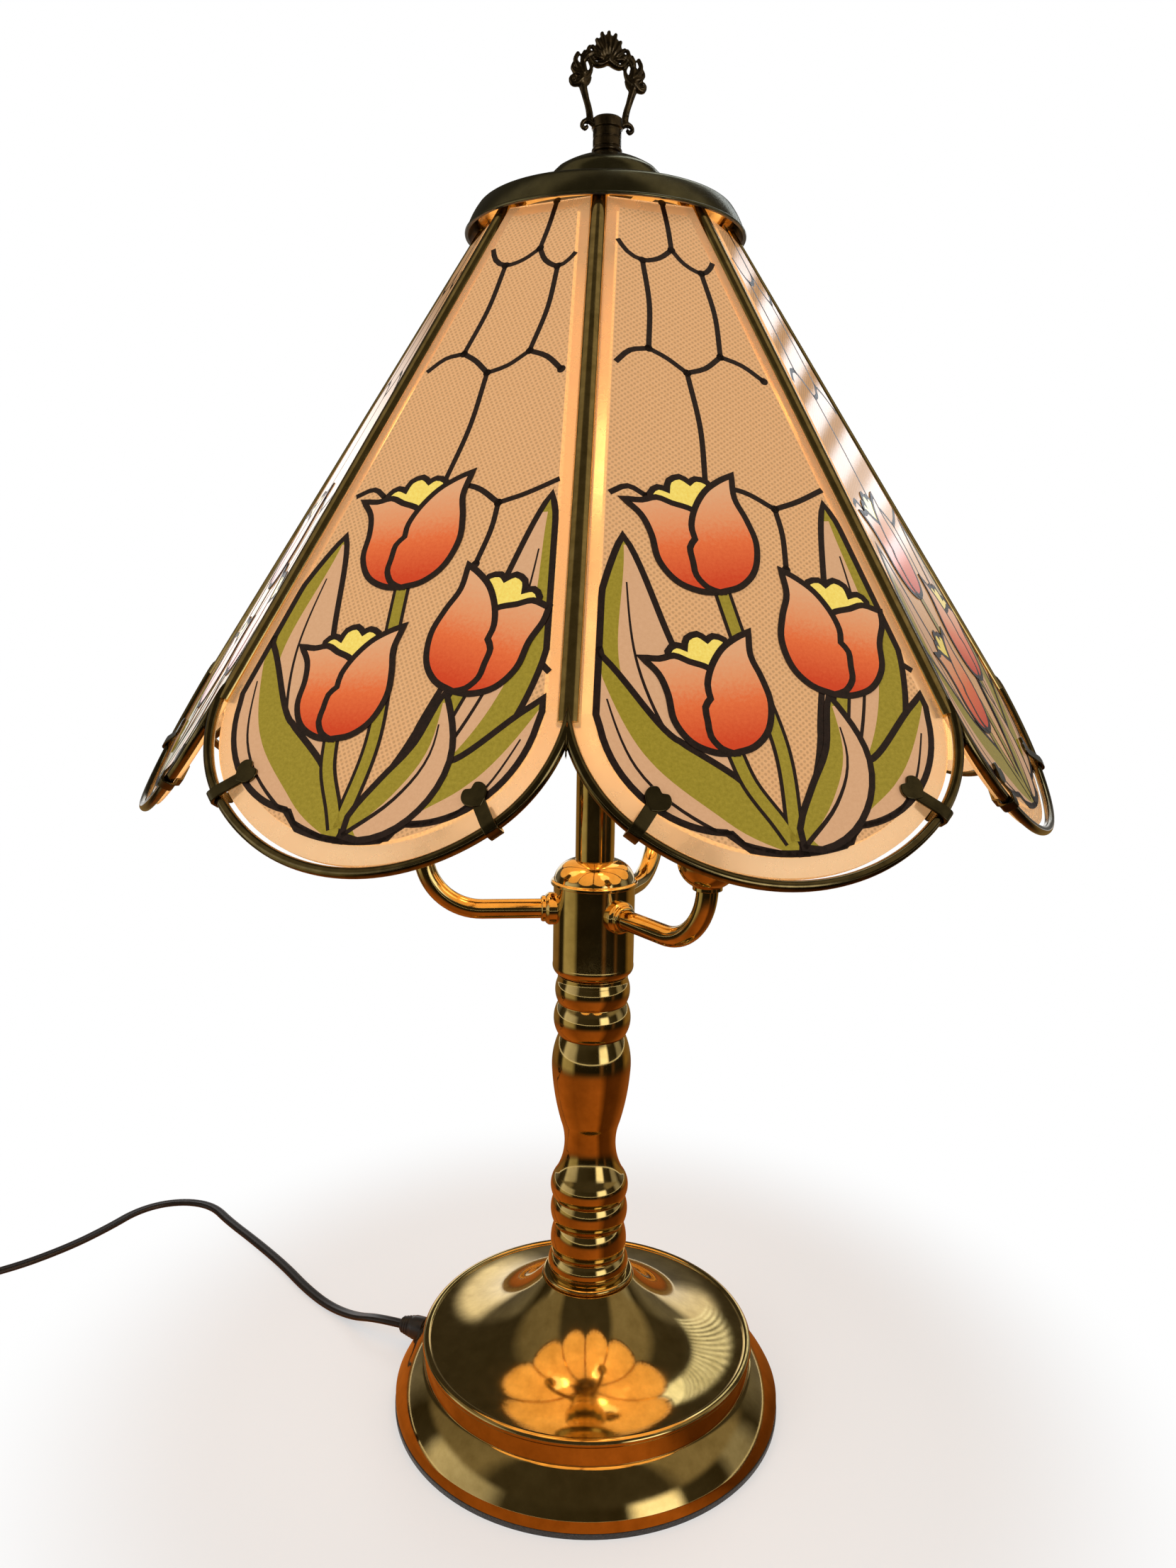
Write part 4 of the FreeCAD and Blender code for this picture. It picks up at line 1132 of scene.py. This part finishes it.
# bands round the coil: rounded frames, 5 mm wide and 0.8 mm thick
bm = bmesh.new()
for ang in (50, 175):
    rot = Matrix.Rotation(math.radians(ang), 3, "Z")
    frames = []
    for off in (0.8, 0.0):
        lo, hi = 14.5 - off, 42.5 + off
        zl, zh = 0.8 - off, 11.6 + off
        rad = 2.4 + off
        loop = []
        for cx, cz, a0 in ((hi - rad, zh - rad, 0), (lo + rad, zh - rad, 90),
                           (lo + rad, zl + rad, 180), (hi - rad, zl + rad, 270)):
            for j in range(7):
                a = math.radians(a0 + 15 * j)
                loop.append((cx + rad * math.cos(a), cz + rad * math.sin(a)))
        for y in (-2.5, 2.5):
            frames.append([bm.verts.new((Vector((centre.x, centre.y, 0))
                                         + rot @ Vector((x, y, z))) * MM) for x, z in loop])
    oa, ob, ia, ib = frames
    for a, b in ((oa, ob), (ib, ia), (ia, oa), (ob, ib)):
        bridge(bm, a, b)
new_object("coil_bands", finish_mesh(bm, "coil_bands", 0.5), "lamp", tie_m, ("coil_ties",), "tie")

# --- CAD nodes that stay
for name, mat in (("base_felt", felt), ("bottom_plate", steel), ("base_weight", iron),
                  ("touch_module", phenolic), ("lamp_pipe", steel), ("pipe_nuts", steel),
                  ("seat_washer", steel), ("stem_stud", steel), ("shade_spider", came_brass),
                  ("plug_blades", nickel)):
    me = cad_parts[name].data
    me.materials.clear()
    me.materials.append(mat)

# --- lights, floor, world
def lamp(name, kind, loc, energy, colour=(1, 1, 1)):
    ld = bpy.data.lights.new(name, kind)
    ld.energy = energy
    ld.color = colour
    lo = bpy.data.objects.new(name, ld)
    lo.location = loc
    col.objects.link(lo)
    return lo


def area(name, loc, aim, size, energy):
    lo = lamp(name, "AREA", loc, energy)
    lo.data.shape = "RECTANGLE"
    lo.data.size, lo.data.size_y = size
    lo.rotation_euler = (Vector(aim) - Vector(loc)).to_track_quat("-Z", "Y").to_euler()
    lo.visible_glossy = False


for az in ARM_AZ:
    bulb = lamp("bulb_light", "POINT", polar(REACH, az, 400) * MM, 0.08, (1.0, 0.62, 0.28))
    bulb.data.shadow_soft_size = 0.017
area("key", (-1.1, -0.9, 1.5), (0, 0, 0.25), (0.9, 0.9), 7)
area("fill", (1.2, -0.7, 0.9), (0, 0, 0.2), (0.7, 1.2), 2.5)
area("rim", (0.4, 1.3, 1.2), (0, 0, 0.3), (1.0, 0.6), 4)


def separate(t, vec):
    sep = add(t, "ShaderNodeSeparateXYZ")
    t.links.new(vec, sep.inputs[0])
    return sep.outputs


def bearings(t, vec, stops):
    """Colour by bearing round the lamp in degrees, 0 towards the camera's side, right positive."""
    xyz = separate(t, vec)
    turn = calc(t, "ARCTAN2", xyz["X"], calc(t, "MULTIPLY", xyz["Y"], -1))
    turn = remap(t, turn, -math.pi, math.pi, kind="LINEAR")
    return ramp(t, turn, [((a + 180) / 360, c) for a, c in stops])


def distance(t, vec):
    ln = add(t, "ShaderNodeVectorMath", operation="LENGTH")
    t.links.new(vec, ln.inputs[0])
    return ln.outputs["Value"]


def glossy_only(name, bm):
    """Bright stage surface that only polished surfaces see, and its colour socket."""
    m = bpy.data.materials.new(name)
    m.use_nodes = True
    t = m.node_tree
    t.nodes.clear()
    e = add(t, "ShaderNodeEmission")
    out = t.nodes.new("ShaderNodeOutputMaterial")
    t.links.new(e.outputs[0], out.inputs["Surface"])
    m.cycles.emission_sampling = "NONE"
    me = to_mesh(bm, name)
    me.materials.append(m)
    o = bpy.data.objects.new(name, me)
    col.objects.link(o)
    for kind in ("camera", "diffuse", "transmission", "volume_scatter", "shadow"):
        setattr(o, "visible_" + kind, False)
    return t, t.nodes.new("ShaderNodeTexCoord").outputs["Object"], e.inputs["Color"]


# studio wall and ceiling: dim, with soft boxes and a window with a slatted blind
bm = bmesh.new()
bmesh.ops.create_cone(bm, segments=96, radius1=2.2, radius2=2.2, depth=2.6, cap_ends=True,
                      matrix=Matrix.Translation((0, 0, 1.35)))
bmesh.ops.delete(bm, geom=[f for f in bm.faces if f.calc_center_median().z < 0.3
                           and abs(f.normal.z) > 0.9], context="FACES_ONLY")
t, where, colour = glossy_only("studio_wall", bm)
DIM = (0.035, 0.029, 0.017)
band = bearings(t, where, [(az, tuple(d + (1 - d) * tone for d in DIM)) for az, tone in (
    (-180, 0.10), (-171, 0.12), (-166, 1.3), (-150, 1.3), (-143, 0.10), (-125, 0.16),
    (-110, 0), (-92, 0.02), (-84, 0.75), (-50, 0.5), (-38, 0.02), (24, 0),
    (31, 1.9), (50, 1.9), (56, 0.02), (80, 0), (88, 0.35), (100, 0.35), (112, 0),
    (130, 0.16), (148, 0.12), (153, 1.1), (163, 1.1), (168, 0.10), (180, 0.10))])
high = bearings(t, where, [(az, (c, c * 0.88, c * 0.66)) for az, c in (
    (-180, 0.05), (-118, 0.05), (-106, 0.22), (-62, 0.26), (-50, 0.06), (50, 0.06), (62, 0.3),
    (106, 0.3), (118, 0.06), (180, 0.05))])
z = separate(t, where)["Z"]
room = blend_of(t, remap(t, z, 0.75, 1.15), band, high)
slat = add(t, "ShaderNodeTexWave", bands_direction="Z")
slat.inputs["Scale"].default_value = 3.0
t.links.new(where, slat.inputs["Vector"])
blind = calc(t, "MULTIPLY", ramp(t, slat.outputs["Fac"], [(0.35, (0.0,)), (0.5, (1.0,))]),
             bearings(t, where, [(142.2, (0,)), (145.8, (1,)), (160.2, (1,)), (163.8, (0,))]))
blind = calc(t, "MULTIPLY", blind, remap(t, z, 0.75, 0.80))
t.links.new(blend_of(t, blind, room, (1.6, 1.75, 1.9, 1)), colour)

# table top round the foot, seen only in reflections: warm wood, brighter near the lamp as a painted
# pool of its light and darker further out, with painted window reflections as bright streaks there
bm = bmesh.new()
FOOT, CARD_Z = 0.083, 0.0004
edge_in, edge_out = ([bm.verts.new((x, y, CARD_Z)) for x, y in circle(r, 96)]
                     for r in (FOOT, 25 * FOOT))
bridge(bm, edge_in, edge_out)
t, where, colour = glossy_only("table_card", bm)
away = distance(t, where)
wood_in_lamp_pool = ramp(t, away, [(0.12, (0.50, 0.15, 0.025)), (0.27, (0.46, 0.14, 0.027)),
                      (0.45, (0.16, 0.07, 0.022))])
# Painted light and shade: the near table lighter or darker by bearing round the lamp.
tone = bearings(t, where, [(-180, (0.7,)), (-100.8, (1.0,)), (-50.4, (0.62,)), (0, (0.85,)),
                           (28.8, (0.95,)), (50.4, (0.22,)), (93.6, (0.3,)), (129.6, (0.7,))])
# Far table: dark, with bright streaks that are painted reflections of windows.
far_table_and_glints = bearings(t, where, [
    (-180, (0.25, 0.15, 0.05)), (-116, (0.25, 0.15, 0.05)), (-104, (0.02, 0.016, 0.01)),
    (-92, (0.03, 0.025, 0.015)), (-84, (0.50, 0.46, 0.30)), (-54, (0.40, 0.36, 0.22)),
    (-42, (0.02, 0.016, 0.01)), (24, (0.014, 0.012, 0.008)), (32, (0.15, 0.075, 0.03)),
    (40, (0.02, 0.015, 0.01)), (60, (0.015, 0.012, 0.008)), (67, (0.12, 0.06, 0.025)),
    (75, (0.02, 0.015, 0.01)), (102, (0.015, 0.012, 0.008)), (120, (0.30, 0.18, 0.05)),
    (180, (0.25, 0.15, 0.05))])
t.links.new(blend_of(t, remap(t, away, 0.30, 0.62), blend_of(t, 1, wood_in_lamp_pool, tone, "MULTIPLY"),
                     far_table_and_glints), colour)


def background_ray(t):
    """1 for the rays that show the white background: camera, glossy and transmission."""
    lp = t.nodes.new("ShaderNodeLightPath")
    both = calc(t, "MAXIMUM", lp.outputs["Is Camera Ray"], lp.outputs["Is Glossy Ray"])
    return calc(t, "MAXIMUM", both, lp.outputs["Is Transmission Ray"])


world = bpy.data.worlds.new("studio")
sc.world = world
world.use_nodes = True
t = world.node_tree
bg = t.nodes["Background"]
bg.inputs["Color"].default_value = (1, 1, 1, 1)
t.links.new(remap(t, background_ray(t), 0, 1, 0.45, "LINEAR"), bg.inputs["Strength"])

# floor: white to the camera away from the lamp, with the lamp's soft shadow near it
bm = bmesh.new()
bmesh.ops.create_circle(bm, cap_ends=True, segments=96, radius=6.0)
me = to_mesh(bm, "floor")
floor = bpy.data.objects.new("floor", me)
col.objects.link(floor)
m, t, p = nodes_of("floor_white")
p.inputs["Base Color"].default_value = (0.86, 0.86, 0.86, 1)
p.inputs["Roughness"].default_value = 0.6
white = add(t, "ShaderNodeEmission")
away = distance(t, t.nodes.new("ShaderNodeTexCoord").outputs["Object"])
mix = add(t, "ShaderNodeMixShader")
t.links.new(calc(t, "MULTIPLY", background_ray(t), remap(t, away, 0.15, 0.27, 0.5)),
            mix.inputs["Fac"])
t.links.new(p.outputs[0], mix.inputs[1])
t.links.new(white.outputs[0], mix.inputs[2])
t.links.new(mix.outputs[0], t.nodes["Material Output"].inputs["Surface"])
me.materials.append(m)
